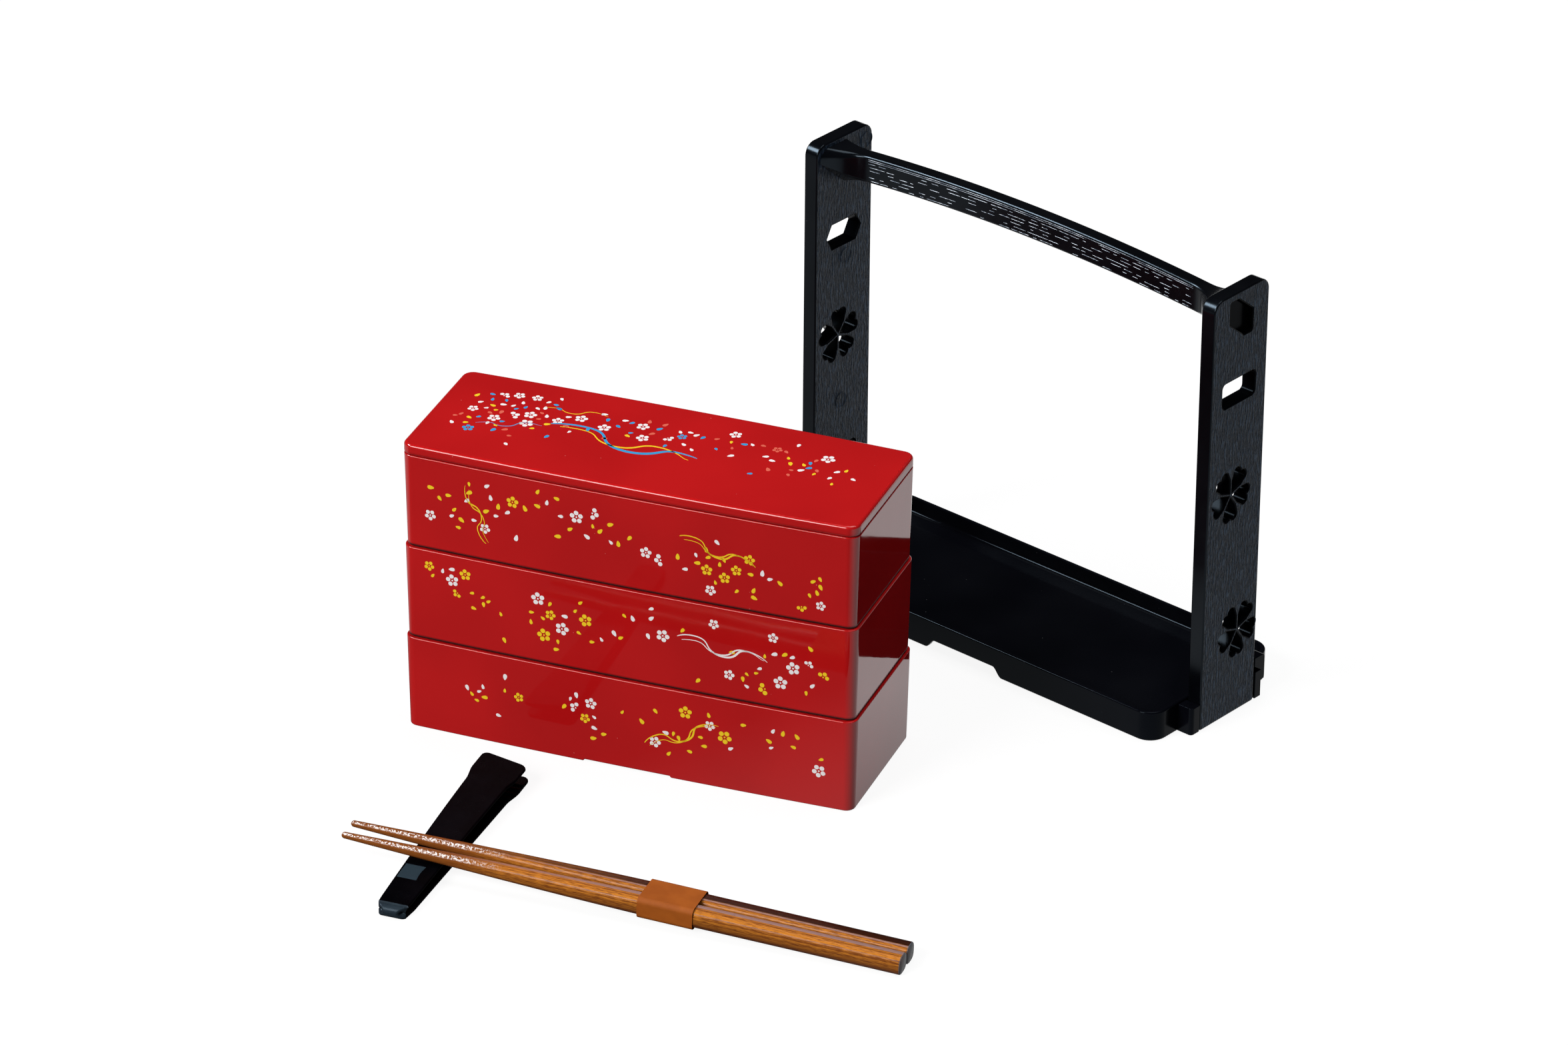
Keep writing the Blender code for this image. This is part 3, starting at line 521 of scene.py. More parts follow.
boxSizes = {
    "length": 0.18, "width": 0.0636, "sideBow": 0.0012, "cornerRadius": 0.0045, "wallHeight": 0.0384,
    "draft": 0.0008, "floor": 0.0018, "skirtWall": 0.001, "lipWall": 0.001, "lipHeight": 0.0026,
    "innerDraft": 0.0004, "innerFillet": 0.0018, "seamRound": 0.0006, "rimRound": 0.0004, "lipRound": 0.0002,
    "lidHeight": 0.0042, "lidRound": 0.0013, "gap": 0.0003, "notchLength": 0.034, "notchHeight": 0.0007,
    "seamPaintedShadeTop": 0.0014, "seamDraft": 0.98, "lidSeam": 0.3, "stationReach": 0.0855, "stations": 44,
}
tierBodies = (("bottomTier", "bottom_tier", "tier_1"), ("middleTier", "middle_tier", "tier_2"),
              ("topTier", "top_tier", "tier_3"))
tierPitch = boxSizes["wallHeight"] + boxSizes["gap"]


def notchRise(x):
    half, height = boxSizes["notchLength"] / 2, boxSizes["notchHeight"]
    return clamped((half + height - abs(x)) / height) * height


def boxRing(inset, level, base, notched):
    s = boxSizes
    half = s["notchLength"] / 2
    stations = sideStations(s["stationReach"], s["stations"], (half, half + s["notchHeight"]))
    outline = softOutline(s["length"], s["width"], s["cornerRadius"], s["sideBow"], inset, stations)
    lifted = notched and level <= s["seamRound"]
    return [(x, y, base + level + (notchRise(x) if lifted else 0.0)) for x, y in outline]


def roundOver(inset, level, radius, steps):
    return [(inset + radius * (1 - cos(t)), level - radius * (1 - sin(t))) for t in evenly(0.0, quarter, steps)]


def roundUnder(inset, level, radius, steps):
    return [(inset + radius * (1 - sin(t)), level + radius * (1 - cos(t))) for t in evenly(0.0, quarter, steps)]


def fillet(inset, level, radius):
    return arc(inset + radius, level + radius, radius, 2 * quarter, 3 * quarter, 6)


def makeBoxPiece(index, name, node, body, draft, upper, seamDepth):
    s, base = boxSizes, index * tierPitch
    skirt, recess, seam = s["draft"] + s["skirtWall"], s["lipHeight"] + s["gap"], s["seamRound"]
    profile = [(skirt, recess), (skirt, 0.0)] + roundUnder(draft, 0.0, seam, 5)
    profile += [(draft * s["seamDraft"], s["seamPaintedShadeTop"])] + upper
    bm = loft([boxRing(inset, level, base, index == 0) for inset, level in profile])
    piece = finishPiece(bm, name, stackPlace, ["lacquer"], body, [node])
    # Painted shade: the lowest strip of each tier above the bottom one is darkened where the seam's shadow falls, and
    # the lid's strip more lightly.
    layer = piece.data.attributes.new("seamShade", "FLOAT", "POINT")
    for vert in piece.data.vertices:
        layer.data[vert.index].value = seamDepth * (1 - clamped((vert.co.z - base - seam) / seam))


def makeTier(index, name, node, body):
    s = boxSizes
    top, lipTop, lipRound = s["wallHeight"], s["wallHeight"] + s["lipHeight"], s["lipRound"]
    lipOuter = s["draft"] + s["skirtWall"] + s["gap"]
    lipInner = lipOuter + s["lipWall"]
    upper = roundOver(0.0, top, s["rimRound"], 5) + [(lipOuter, top)]
    upper += roundOver(lipOuter, lipTop, lipRound, 2) + [(lipInner - lipRound, lipTop), (lipInner, lipTop - lipRound)]
    upper += fillet(lipInner + s["innerDraft"], s["lipHeight"] + s["gap"] + s["floor"], s["innerFillet"])
    makeBoxPiece(index, name, node, body, s["draft"], upper, min(index, 1))


for index, (name, node, body) in enumerate(tierBodies):
    makeTier(index, name, node, body)
upper = roundOver(0.0, boxSizes["lidHeight"], boxSizes["lidRound"], 9)
makeBoxPiece(len(tierBodies), "boxLid", "box_lid", "lid", 0.0, upper, boxSizes["lidSeam"])
print("box made")


# The carrier: the sizes of its three kinds of piece, which fit one another, then the tray

traySizes = {
    "length": 0.1866, "width": 0.0724, "cornerRadius": 0.0075, "wall": 0.0018, "height": 0.0123,
    "floor": 0.0018, "floorLevel": 0.006, "rimRound": 0.0007, "fillet": 0.0012,
    "rimSteps": ((0.0003, 0.0), (0.0001, 0.0001), (0.0, 0.0004)),
    "archLength": 0.038, "archHeight": 0.0038, "archShoulder": 0.0045, "stationReach": 0.0858, "stations": 30,
    "earRoot": 0.001, "earRound": 0.0014, "earBevel": 0.00035, "nearEar": 0.0048, "nearEarHeight": 0.0115,
    "farEar": 0.0061, "farEarTop": 0.0178, "farEarStep": 0.0069, "farEarRib": 0.0042,
    "hookLevel": 0.0115, "hookRise": 0.0027,
}
postSizes = {
    "width": 0.0322, "thickness": 0.0063, "height": 0.1805, "cornerRadius": 0.005, "footRadius": 0.001,
    "edgeRound": 0.0006, "slotLevel": 0.1392, "slotWidth": 0.019, "slotHeight": 0.01,
    "slotRadius": 0.0018, "slotPoint": 0.0028, "tenonLevel": 0.1701,
    "flowerRadius": 0.0118, "flowerRib": 0.0016, "petalWidth": 0.0078, "petalNotch": 0.001,
    "petalWaist": (0.6, 0.74), "petalTurn": radians(162),
    "upperFlower": (-0.0025, 0.0958), "lowerFlower": (0.0044, 0.0357), "gap": 0.0003,
}
barSizes = {
    "thickness": 0.006, "depth": 0.0114, "rise": 0.0047, "edgeRound": 0.0012,
    "flareLength": 0.017, "flareWidth": 0.029, "flareHeight": 0.0172, "flareRound": 0.005,
    "flareCutWidth": 0.0139, "flareCutHeight": 0.0118, "tenonWidth": 0.0128, "tenonHeight": 0.0152,
    "tenonDrop": 0.0006, "tenonRound": 0.0006, "tenonCutWidth": 0.0084, "tenonCutHeight": 0.0068,
    "tenonRecess": 0.0028, "flareEase": 1.5, "flareSteps": 26, "barSteps": 60,
}
postInner = traySizes["length"] / 2 + postSizes["gap"]
postOuter = postInner + postSizes["thickness"]


def archRise(x):
    s = traySizes
    return s["archHeight"] * eased((s["archLength"] / 2 - abs(x)) / s["archShoulder"])


def trayRing(inset, level):
    s = traySizes
    extra = evenly(s["archLength"] / 2, s["archLength"] / 2 - s["archShoulder"], 10)
    stations = sideStations(s["stationReach"], s["stations"], extra)
    outline = softOutline(s["length"], s["width"], s["cornerRadius"], 0.0, inset, stations)
    lifted = level <= s["rimRound"]
    return [(x, y, level + (archRise(x) if lifted else 0.0)) for x, y in outline]


def makePrism(rings, bevel):
    part = loft(rings)
    bmesh.ops.recalc_face_normals(part, faces=part.faces)
    bmesh.ops.bevel(part, geom=list(part.edges), offset=bevel, segments=3, profile=0.5, affect="EDGES",
                    clamp_overlap=True)
    return toMesh(part, "prismPart")


def makeTray():
    s, gap = traySizes, postSizes["gap"]
    wall, height, r = s["wall"], s["height"], s["earRound"]
    profile = [(wall, s["floorLevel"] - s["floor"]), (wall, 0.0)] + roundUnder(0.0, 0.0, s["rimRound"], 4)
    profile += roundOver(0.0, height, s["rimRound"], 5)
    profile += [(wall - out, height - down) for out, down in s["rimSteps"]]
    profile += fillet(wall, s["floorLevel"], s["fillet"])
    bm = loft([trayRing(inset, level) for inset, level in profile])
    bmesh.ops.recalc_face_normals(bm, faces=bm.faces)
    innerX = s["length"] / 2 - s["earRoot"]
    near = -postSizes["width"] / 2 - gap
    far = near - s["nearEar"]
    low = [(innerX, near), (innerX, far)] + arc(postOuter - r, far + r, r, -quarter, 0, 4) + [(postOuter, near)]
    nearMesh = makePrism([[(x, y, z) for x, y in low] for z in (0.0, s["nearEarHeight"])], s["earBevel"])
    near = postSizes["width"] / 2 + gap
    far = near + s["farEar"]
    ribNear, ribFar = near + 2 * gap, near + s["farEarRib"]
    high = [(ribNear, 0.0), (ribFar, 0.0), (ribFar, s["farEarStep"]), (far, s["farEarStep"])]
    high += arc(far - r, s["farEarTop"] - r, r, 0, quarter, 4)
    high += [(near, s["farEarTop"]), (near, s["hookLevel"] + s["hookRise"]), (ribFar - gap, s["hookLevel"]),
             (ribNear, s["hookLevel"])]
    farMesh = makePrism([[(x, y, z) for y, z in high] for x in (innerX, postOuter)], s["earBevel"])
    for mesh in (nearMesh, farMesh):
        bm.from_mesh(mesh)
        mesh.transform(Matrix.Rotation(pi, 4, "Z"))
        bm.from_mesh(mesh)
        bpy.data.meshes.remove(mesh)
    finishPiece(bm, "carrierTray", carrierPlace, ["glossBlack"], "base", ["base_tray"])


makeTray()
print("tray made")


# The two posts

def shiftedLoop(points, distance):
    moved = []
    for i, point in enumerate(points):
        before = (Vector(point) - Vector(points[i - 1])).normalized()
        after = (Vector(points[(i + 1) % len(points)]) - Vector(point)).normalized()
        inward = Vector((-before.y - after.y, before.x + after.x)).normalized()
        spread = max(inward.dot(Vector((-before.y, before.x))), 0.5)
        moved.append(tuple(Vector(point) + inward * (distance / spread)))
    return moved


def postOutline():
    s = postSizes
    half, top, foot = s["width"] / 2, s["cornerRadius"], s["footRadius"]
    points = arc(half - foot, foot, foot, -quarter, 0, 4)
    points += arc(half - top, s["height"] - top, top, 0, quarter, 12)
    points += arc(-half + top, s["height"] - top, top, quarter, 2 * quarter, 12)
    return points + arc(-half + foot, foot, foot, 2 * quarter, 3 * quarter, 4)


def barEnd(part, level, steps=8):
    # Two opposite corners are rounded and the other two are cut off
    width, height, radius, cutWidth, cutHeight = (
        barSizes[part + key] for key in ("Width", "Height", "Round", "CutWidth", "CutHeight"))
    half, rise, points = width / 2, height / 2, []
    for i, (sy, sz) in enumerate(((1, -1), (1, 1), (-1, 1), (-1, -1))):
        if sy == sz:
            points += [(sy * (half - cutWidth * share), sz * (rise - cutHeight * (1 - share)))
                       for share in evenly(0.0, 1.0, steps)]
        else:
            points += arc(sy * (half - radius), sz * (rise - radius), radius, (i - 1) * quarter, i * quarter, steps)
    return [(y, z + level) for y, z in points]


tenonOutline = barEnd("tenon", postSizes["tenonLevel"] - barSizes["tenonDrop"])


def roundSlot():
    s = postSizes
    y, z = s["slotWidth"] / 2 - s["slotRadius"], s["slotHeight"] / 2 - s["slotRadius"]
    return arcBox(y, z, s["slotRadius"], 6, s["slotLevel"])


def pointedSlot():
    s = postSizes
    y, z, level = s["slotWidth"] / 2, s["slotHeight"] / 2, s["slotLevel"]
    flat = y - s["slotPoint"]
    return [(flat, level - z), (y, level), (flat, level + z), (-flat, level + z), (-y, level), (-flat, level - z)]


def petalLoop(centre, turn):
    s = postSizes
    half, lobe = s["petalWidth"] / 2, s["petalWidth"] / 4
    root = s["flowerRib"] / (2 * sin(radians(36)))
    shoulder = s["flowerRadius"] - lobe - s["petalNotch"]
    side = [(shoulder + lobe * sin(t), lobe + lobe * cos(t)) for t in evenly(0.0, s["petalTurn"], 10)]
    waistOut, waistHalf = shoulder * s["petalWaist"][0], half * s["petalWaist"][1]
    loop = [(root, 0.0), (waistOut, -waistHalf)] + [(r, -w) for r, w in side]
    loop += [(s["flowerRadius"] - lobe, 0.0)] + [(r, w) for r, w in reversed(side)]
    loop += [(waistOut, waistHalf)]
    return turned(loop, turn, centre)


# Small round marks: how far out and how proud each ring stands from a circle of this radius
markSizes = {
    "left": ((0.0128, 0.174), (0.0015, 0.1286), (-0.0002, 0.0664)),
    "right": ((-0.0118, 0.1735), (0.001, 0.1281), (0.0004, 0.066)),
    "radius": 0.0031, "inner": (0.0009, 0.00004), "around": 28,
    "rings": ((0.00035, -0.0001), (0.00015, 0.00012), (-0.00015, 0.00014), (-0.00035, 0.00003), (-0.0006, 0.00002)),
}


def mapFaces(bm, layer, start=0):
    for face in list(bm.faces)[start:]:
        for corner in face.loops:
            corner[layer].uv = (corner.vert.co.y, corner.vert.co.z)


def addRoundMark(bm, layer, centre, faceX, outward):
    s, start = markSizes, len(bm.faces)
    sizes = [(s["radius"] + wider, lift) for wider, lift in s["rings"]] + [s["inner"]]
    loft([[(faceX + outward * lift, y, z) for y, z in circle(*centre, radius, s["around"])]
          for radius, lift in sizes], bm)
    mapFaces(bm, layer, start)


def makePost(name, node, body, side):
    s = postSizes
    slot, turn = (pointedSlot(), quarter) if side < 0 else (roundSlot(), -quarter)
    holes = [shiftedLoop(tenonOutline, -s["gap"]), slot]
    for spot in ("upperFlower", "lowerFlower"):
        holes += [petalLoop(s[spot], turn + fullTurn / 5 * i) for i in range(5)]
    levels = roundUnder(0.0, -s["thickness"] / 2, s["edgeRound"], 4)
    levels += [(inset, -x) for inset, x in reversed(levels)]
    centre = side * (postInner + postOuter) / 2
    bm = bmesh.new()
    layer = bm.loops.layers.uv.new("faceWay")
    caps = ([], [])
    for number, loop in enumerate([postOutline()] + holes):
        rows = []
        for inset, x in levels:
            moved = shiftedLoop(loop, inset if number == 0 else -inset)
            rows.append([bm.verts.new((centre + x, y, z)) for y, z in moved])
        addSkin(bm, rows, 2 if number else 1)
        caps[0].append(rows[0])
        caps[1].append(rows[-1])
    for loops in caps:
        flat = [vert for loop in loops for vert in loop]
        for triangle in tessellate_polygon([[vert.co for vert in loop] for loop in loops]):
            bm.faces.new([flat[i] for i in triangle])
    bmesh.ops.recalc_face_normals(bm, faces=bm.faces)
    mapFaces(bm, layer)
    for spot in markSizes["left" if side < 0 else "right"]:
        addRoundMark(bm, layer, spot, side * postInner, -side)
    finishPiece(bm, name, carrierPlace, ["bark", "satin", "holeSatin"], body, [node])


makePost("leftPost", "left_post", "post_left", -1)
makePost("rightPost", "right_post", "post_right", 1)
print("posts made")


# The handle bar and the fine dashes on its faces

def barOutline(x):
    s = barSizes
    middle = postSizes["tenonLevel"] + s["rise"] * (1 - (x / postInner) ** 2)
    y, z = s["thickness"] / 2 - s["edgeRound"], s["depth"] / 2 - s["edgeRound"]
    return arcBox(y, z, s["edgeRound"], 8, middle)


def makeBar():
    s = barSizes
    face, flare = postInner - postSizes["gap"], barEnd("flare", postSizes["tenonLevel"])
    end = [[(x, y, z) for y, z in tenonOutline] for x in (postOuter - s["tenonRecess"], face)]
    for share in evenly(0.0, 1.0, s["flareSteps"]):
        swell = (1 - sin(quarter * share)) ** s["flareEase"]
        x = face - s["flareLength"] * share
        end.append([(x, a[0] + (b[0] - a[0]) * swell, a[1] + (b[1] - a[1]) * swell)
                    for a, b in zip(barOutline(x), flare)])
    reach = face - s["flareLength"]
    centre = [[(x, y, z) for y, z in barOutline(x)] for x in evenly(reach, -reach, s["barSteps"])[1:-1]]
    mirrored = [[(-x, y, z) for x, y, z in ring] for ring in reversed(end)]
    bm = loft(end + centre + mirrored)
    for part in bm.faces:
        if abs(part.calc_center_median().x) > postInner:
            part.material_index = 1
    finishPiece(bm, "handleBar", carrierPlace, ["barSatin", "holeSatin"], "handle", ["handle_bar"])


makeBar()


# Geometry Nodes helpers

def realized(geometry):
    return addNode(geometry.id_data, "GeometryNodeRealizeInstances", {0: geometry})[0]


def instanced(tree, given):
    return realized(addNode(tree, "GeometryNodeInstanceOnPoints", given)[0])


def closeTree(result, geometry, look):
    given = {"Geometry": realized(geometry), "Material": finishes[look]}
    feed(result[0], addNode(geometry.id_data, "GeometryNodeSetMaterial", given)[0])


def movePoints(geometry, x, y, z):
    tree = geometry.id_data
    return addNode(tree, "GeometryNodeSetPosition", {"Geometry": geometry, "Position": join(tree, x, y, z)})[0]


def pointParts(tree):
    return split(addNode(tree, "GeometryNodeInputPosition")[0])


def bowed(x, reach, rise):
    share = over(x, reach)
    return times(rise, minus(1.0, times(share, share)))


def grow(name, tree, values, source=None):
    mesh = source or bpy.data.meshes.new(name + "Seed")
    seed = addObject(name + "Seed", mesh)
    modifier = seed.modifiers.new("grow", "NODES")
    modifier.node_group = tree
    for item in tree.interface.items_tree:
        if item.name in values:
            modifier[item.identifier] = values[item.name]
    graph = bpy.context.evaluated_depsgraph_get()
    made = bpy.data.meshes.new_from_object(seed.evaluated_get(graph), preserve_all_data_layers=True, depsgraph=graph)
    bpy.data.objects.remove(seed, do_unlink=True)
    bpy.data.meshes.remove(mesh)
    made.name = name
    return made


dashSizes = {
    "Reach": 0.077, "Columns": 32, "Rows": 6, "Row Pitch": 0.0014, "Dash Length": 0.0062, "Dash Width": 0.00018,
    "Proud": 0.00009, "Kept": 0.62, "Seed": 6, "Face Y": -barSizes["thickness"] / 2,
    "Level": postSizes["tenonLevel"], "Rise": barSizes["rise"], "Arch Reach": postInner,
}
# What each piece has of its own; its lift is from the level above
dashPieces = {
    "barDashesFront": {"lift": -0.0009},
    # Two rows of long strips near the top of the front face. Their pale tone is a painted highlight along the bar's
    # top edge.
    "barLinesFront": {"lift": 0.0041, "Rows": 2, "Row Pitch": 0.0007, "Columns": 9, "Dash Length": 0.042,
                      "Dash Width": 0.00014, "Kept": 1.0, "Seed": 9},
    "barDashesBack": {"lift": 0.0, "Rows": 7, "Seed": 8, "Face Y": barSizes["thickness"] / 2},
}
dashSpread = {"shake": (0.0014, 0.00004, 0), "shortest": 0.25, "aspect": 0.6}


def randomValue(tree, seed, given, kind="FLOAT"):
    outputs = addNode(tree, "FunctionNodeRandomValue", {**given, "Seed": seed}, data_type=kind)
    return outputs[0 if kind == "FLOAT_VECTOR" else 1]


def dashTree():
    tree, given, result = newGroup("barDashes", dashSizes, {"Geometry": "Geometry"}, "GeometryNodeTree")
    seed, shake = given["Seed"], dashSpread["shake"]
    grid = addNode(tree, "GeometryNodeMeshGrid", {
        "Size X": times(given["Reach"], 2.0), "Size Y": times(given["Row Pitch"], minus(given["Rows"], 1.0)),
        "Vertices X": given["Columns"], "Vertices Y": given["Rows"]})
    shaken = randomValue(tree, seed, {0: [-part for part in shake], 1: shake}, "FLOAT_VECTOR")
    jitter = addNode(tree, "GeometryNodeSetPosition", {"Geometry": grid["Mesh"], "Offset": shaken})
    length = randomValue(tree, plus(seed, 5.0), {2: dashSpread["shortest"], 3: 1.0})
    pick = randomValue(tree, plus(seed, 11.0), {})
    dash = addNode(tree, "GeometryNodeMeshUVSphere", {"Segments": 8, "Rings": 4, "Radius": 1.0})
    real = instanced(tree, {
        "Points": jitter[0], "Selection": calc("LESS_THAN", pick, given["Kept"]), "Instance": dash["Mesh"],
        "Scale": join(tree, times(given["Dash Length"], 0.5, length), times(given["Dash Width"], dashSpread["aspect"]),
                      given["Proud"])})
    x, y, z = pointParts(tree)
    level = plus(plus(given["Level"], bowed(x, given["Arch Reach"], given["Rise"])), y)
    depth = plus(given["Face Y"], times(calc("SIGN", given["Face Y"]), z))
    closeTree(result, movePoints(real, x, depth, level), "dash")
    return tree


barTree = dashTree()
for name, sizes in dashPieces.items():
    dashes = grow(name, barTree, {**dashSizes, **sizes, "Level": dashSizes["Level"] + sizes["lift"]})
    settlePiece(dashes, carrierPlace, "handle", [])
print("handle bar made")


# Chopsticks: one tapering rule, grown along the stick

stickSizes = {"Length": 0.2184, "Width": 0.0075, "Tip Width": 0.0024, "Taper": 0.13, "Tip Round": 0.0012,
              "End Round": 0.0006, "Stations": 150, "Around": 40, "Grain Shift": 0.0}
stickPair = {"tipSpread": 0.001, "gap": 0.0003}
stickShape = {"fullness": 1.6, "squareness": 1.15, "closed": 0.000004, "weld": 0.0000005}


def stickTree():
    tree, given, result = newGroup("taperedStick", stickSizes, {"Geometry": "Geometry"}, "GeometryNodeTree")
    grid = addNode(tree, "GeometryNodeMeshGrid", {
        "Size X": 1.0, "Size Y": 1.0, "Vertices X": given["Stations"], "Vertices Y": plus(given["Around"], 1.0)})
    x, y, z = pointParts(tree)
    swing = calc("COSINE", times(plus(x, 0.5), pi))
    along = times(given["Length"], minus(0.5, times(swing, 0.5)))
    around = plus(y, 0.5)
    stored = addNode(tree, "GeometryNodeStoreNamedAttribute", {
        "Geometry": grid["Mesh"], "Name": "stickWay", "Value": join(tree, along, plus(around, given["Grain Shift"]))},
        data_type="FLOAT2", domain="CORNER")
    share = calc("MINIMUM", over(along, given["Taper"]), 1.0)
    rest = calc("POWER", minus(1.0, share), stickShape["fullness"])
    extra = times(minus(given["Width"], given["Tip Width"]), minus(1.0, rest))
    half = times(plus(given["Tip Width"], extra), 0.5)
    tip = minus(1.0, calc("MINIMUM", over(along, given["Tip Round"]), 1.0))
    half = times(half, calc("SQRT", minus(1.0, times(tip, tip))))
    left = minus(given["Length"], along)
    back = minus(1.0, calc("MINIMUM", over(left, given["End Round"]), 1.0))
    cut = minus(1.0, calc("SQRT", minus(1.0, times(back, back))))
    half = minus(half, times(given["End Round"], cut))
    half = times(half, calc("GREATER_THAN", left, stickShape["closed"]))
    power = plus(2.0, times(share, stickShape["squareness"]))
    turn = times(around, fullTurn)
    outY, outZ = calc("COSINE", turn), calc("SINE", turn)
    total = plus(*(calc("POWER", calc("ABSOLUTE", part), power) for part in (outY, outZ)))
    radius = over(half, calc("POWER", total, over(1.0, power)))
    moved = movePoints(stored[0], minus(along, given["Length"]), times(radius, outY), times(radius, outZ))
    merged = addNode(tree, "GeometryNodeMergeByDistance", {"Geometry": moved, "Distance": stickShape["weld"]})
    closeTree(result, merged[0], "wood")
    return tree


def makeStick(name, node, body, side, shift):
    s = stickSizes
    stick = grow(name, woodTree, {**s, "Grain Shift": shift})
    spread = atan2(stickPair["tipSpread"] / 2, s["Length"])
    offset = Matrix.Translation((0, side * (s["Width"] + stickPair["gap"]) / 2, 0))
    place = sticksPlace @ offset @ Matrix.Rotation(-side * spread, 4, "Z")
    settlePiece(stick, place, body, [node], 50)


woodTree = stickTree()
makeStick("frontChopstick", "front_chopstick", "chopstick_front", -1, woodLook["shiftFront"])
makeStick("rearChopstick", "rear_chopstick", "chopstick_rear", 1, woodLook["shiftRear"])
print("chopsticks made")


# Paper band

bandSizes = {"width": 0.0215, "fromTip": 0.1174, "paper": 0.0003, "edge": 0.0001, "edgeShare": 0.8}


def makeBand():
    s, t = bandSizes, stickSizes
    innerY, innerZ = t["Width"] + stickPair["gap"] * 1.5, t["Width"] / 2 + stickPair["gap"]
    radius, half, paper, edge = t["Width"] / 4, s["width"] / 2, s["paper"], s["edge"]
    outline = arcBox(innerY - radius, innerZ - radius, radius, 8)
    side = paper * s["edgeShare"]
    profile = ((-half, 0.0), (-half, side), (-half + edge, paper), (half - edge, paper), (half, side), (half, 0.0))
    bm = loft([[(x, y, z) for y, z in shiftedLoop(outline, -lift)] for x, lift in profile], closed=True)
    middle = Matrix.Translation((s["fromTip"] + half - t["Length"], 0, 0))
    finishPiece(bm, "paperBand", sticksPlace @ middle, ["paper"], "band", ["paper_band"])


makeBand()
print("band made")


# Serving tongs

tongsSizes = {
    "length": 0.11, "arm": 0.0013, "bendRadius": 0.0025, "narrow": 0.0118, "wide": 0.0168, "tip": 0.0196,
    "shoulder": 0.02, "tipRound": 0.0024, "swell": 0.0026, "endSkew": radians(14),
    "split": radians(178), "edgeRound": 0.0004, "upperRound": 0.0006, "bendGap": 0.0001,
    "cornerRound": 0.006, "cornerEase": 0.001, "paintedSheenReach": 0.005, "bendRound": 0.0007, "bendInside": 0.97,
    "padSide": (-0.0062, 0.0027), "padAlong": (0.0194, 0.0298), "padRise": 0.00007, "padSunk": -0.00015,
    "padSkew": 0.0006, "padSteps": 12, "teeth": 5, "toothPitch": 0.0036, "toothHeight": 0.0006, "toothFromTip": 0.004,
    "lowerTip": (1.0, 0.6, 0.3, 0.12, 0.03, 0.0), "upperTip": (1.0, 0.8, 0.6, 0.4, 0.25, 0.12, 0.03, 0.0),
    "toothShape": ((0.0, 0.0), (0.06, 0.7), (0.12, 1.0), (0.46, 1.0), (0.54, 0.7), (0.6, 0.0)),
}


def tongsTop(distance):
    s = tongsSizes
    share = max(distance - s["bendRadius"], 0.0) / (s["length"] - s["shoulder"])
    return 2 * s["bendRadius"] + s["swell"] * sin(quarter * share)


def cornerInset(distance):
    r = tongsSizes["cornerRound"]
    short = r - min(distance + tongsSizes["cornerEase"], r)
    return r - sqrt(r ** 2 - short ** 2)


def tongsWidth(distance):
    s = tongsSizes
    shoulder, r = s["length"] - s["shoulder"], s["tipRound"]
    width = s["narrow"] + (s["wide"] - s["narrow"]) * clamped(distance / shoulder)
    width += (s["tip"] - s["wide"]) * eased((distance - shoulder) / (s["shoulder"] / 2))
    past = min(max(distance - s["length"] + r, 0.0), r)
    return width - 2 * (r - sqrt(r ** 2 - past ** 2)) - 2 * cornerInset(max(distance, 0.0))


def makeArm(name, node, body, stations, endSkew, edgeRound):
    rings = []
    for y, z, lean, width, below, above, ease in stations:
        ny, nz = -sin(lean), cos(lean)
        skew = tan(endSkew) * max(y / tongsSizes["length"], 0.0) ** 3
        r = edgeRound + ease
        section = arcBox(width / 2 - r, (above + below) / 2 - r, r, 4, (above - below) / 2)
        rings.append([(x, y + ny * n - x * skew, z + nz * n) for x, n in section])
    bm = loft(rings)
    # Faces near the narrow end take the end finish with its painted highlight.
    for face in bm.faces:
        if face.calc_center_median().y < tongsSizes["paintedSheenReach"]:
            face.material_index = 1
    finishPiece(bm, name, tongsPlace, ["tongs", "tongsEnd"], body, [node])


def bendStations(start, end, steps):
    s = tongsSizes
    radius, half = s["bendRadius"] - s["arm"] / 2, s["arm"] / 2
    stations = []
    for turn in evenly(start, end, steps):
        width = s["narrow"] - 2 * cornerInset(s["bendRadius"] * (1 + cos(turn)))
        ease = s["bendRound"] * max(-cos(turn), 0.0)
        stations.append((s["bendRadius"] + radius * cos(turn), s["bendRadius"] + radius * sin(turn),
                         turn - quarter, width, radius * s["bendInside"], half, ease))
    return stations


def makeThumbPad():
    s = tongsSizes
    (left, right), (near, far), steps = s["padSide"], s["padAlong"], s["padSteps"]
    bm = bmesh.new()
    rows = []
    for down in evenly(0.0, 1.0, steps):
        y, row = near + (far - near) * down, []
        for across in evenly(0.0, 1.0, steps):
            x = left + (right - left) * across - s["padSkew"] * sin(pi * down) * across
            inside = 0.0 < down < 1.0 and 0.0 < across < 1.0
            row.append(bm.verts.new((x, y, tongsTop(y) + s["padRise" if inside else "padSunk"])))
        rows.append(row)
    for low, high in zip(rows, rows[1:]):
        for j in range(steps):
            bm.faces.new((low[j], low[j + 1], high[j + 1], high[j]))
    pad = finishPiece(bm, "tongsThumbPad", tongsPlace, ["tongs"], "tongs_top", [])
    # Painted highlight: every point of the pad takes the mask's lighter tone.
    for item in pad.data.attributes.new("padShade", "FLOAT", "POINT").data:
        item.value = 1.0


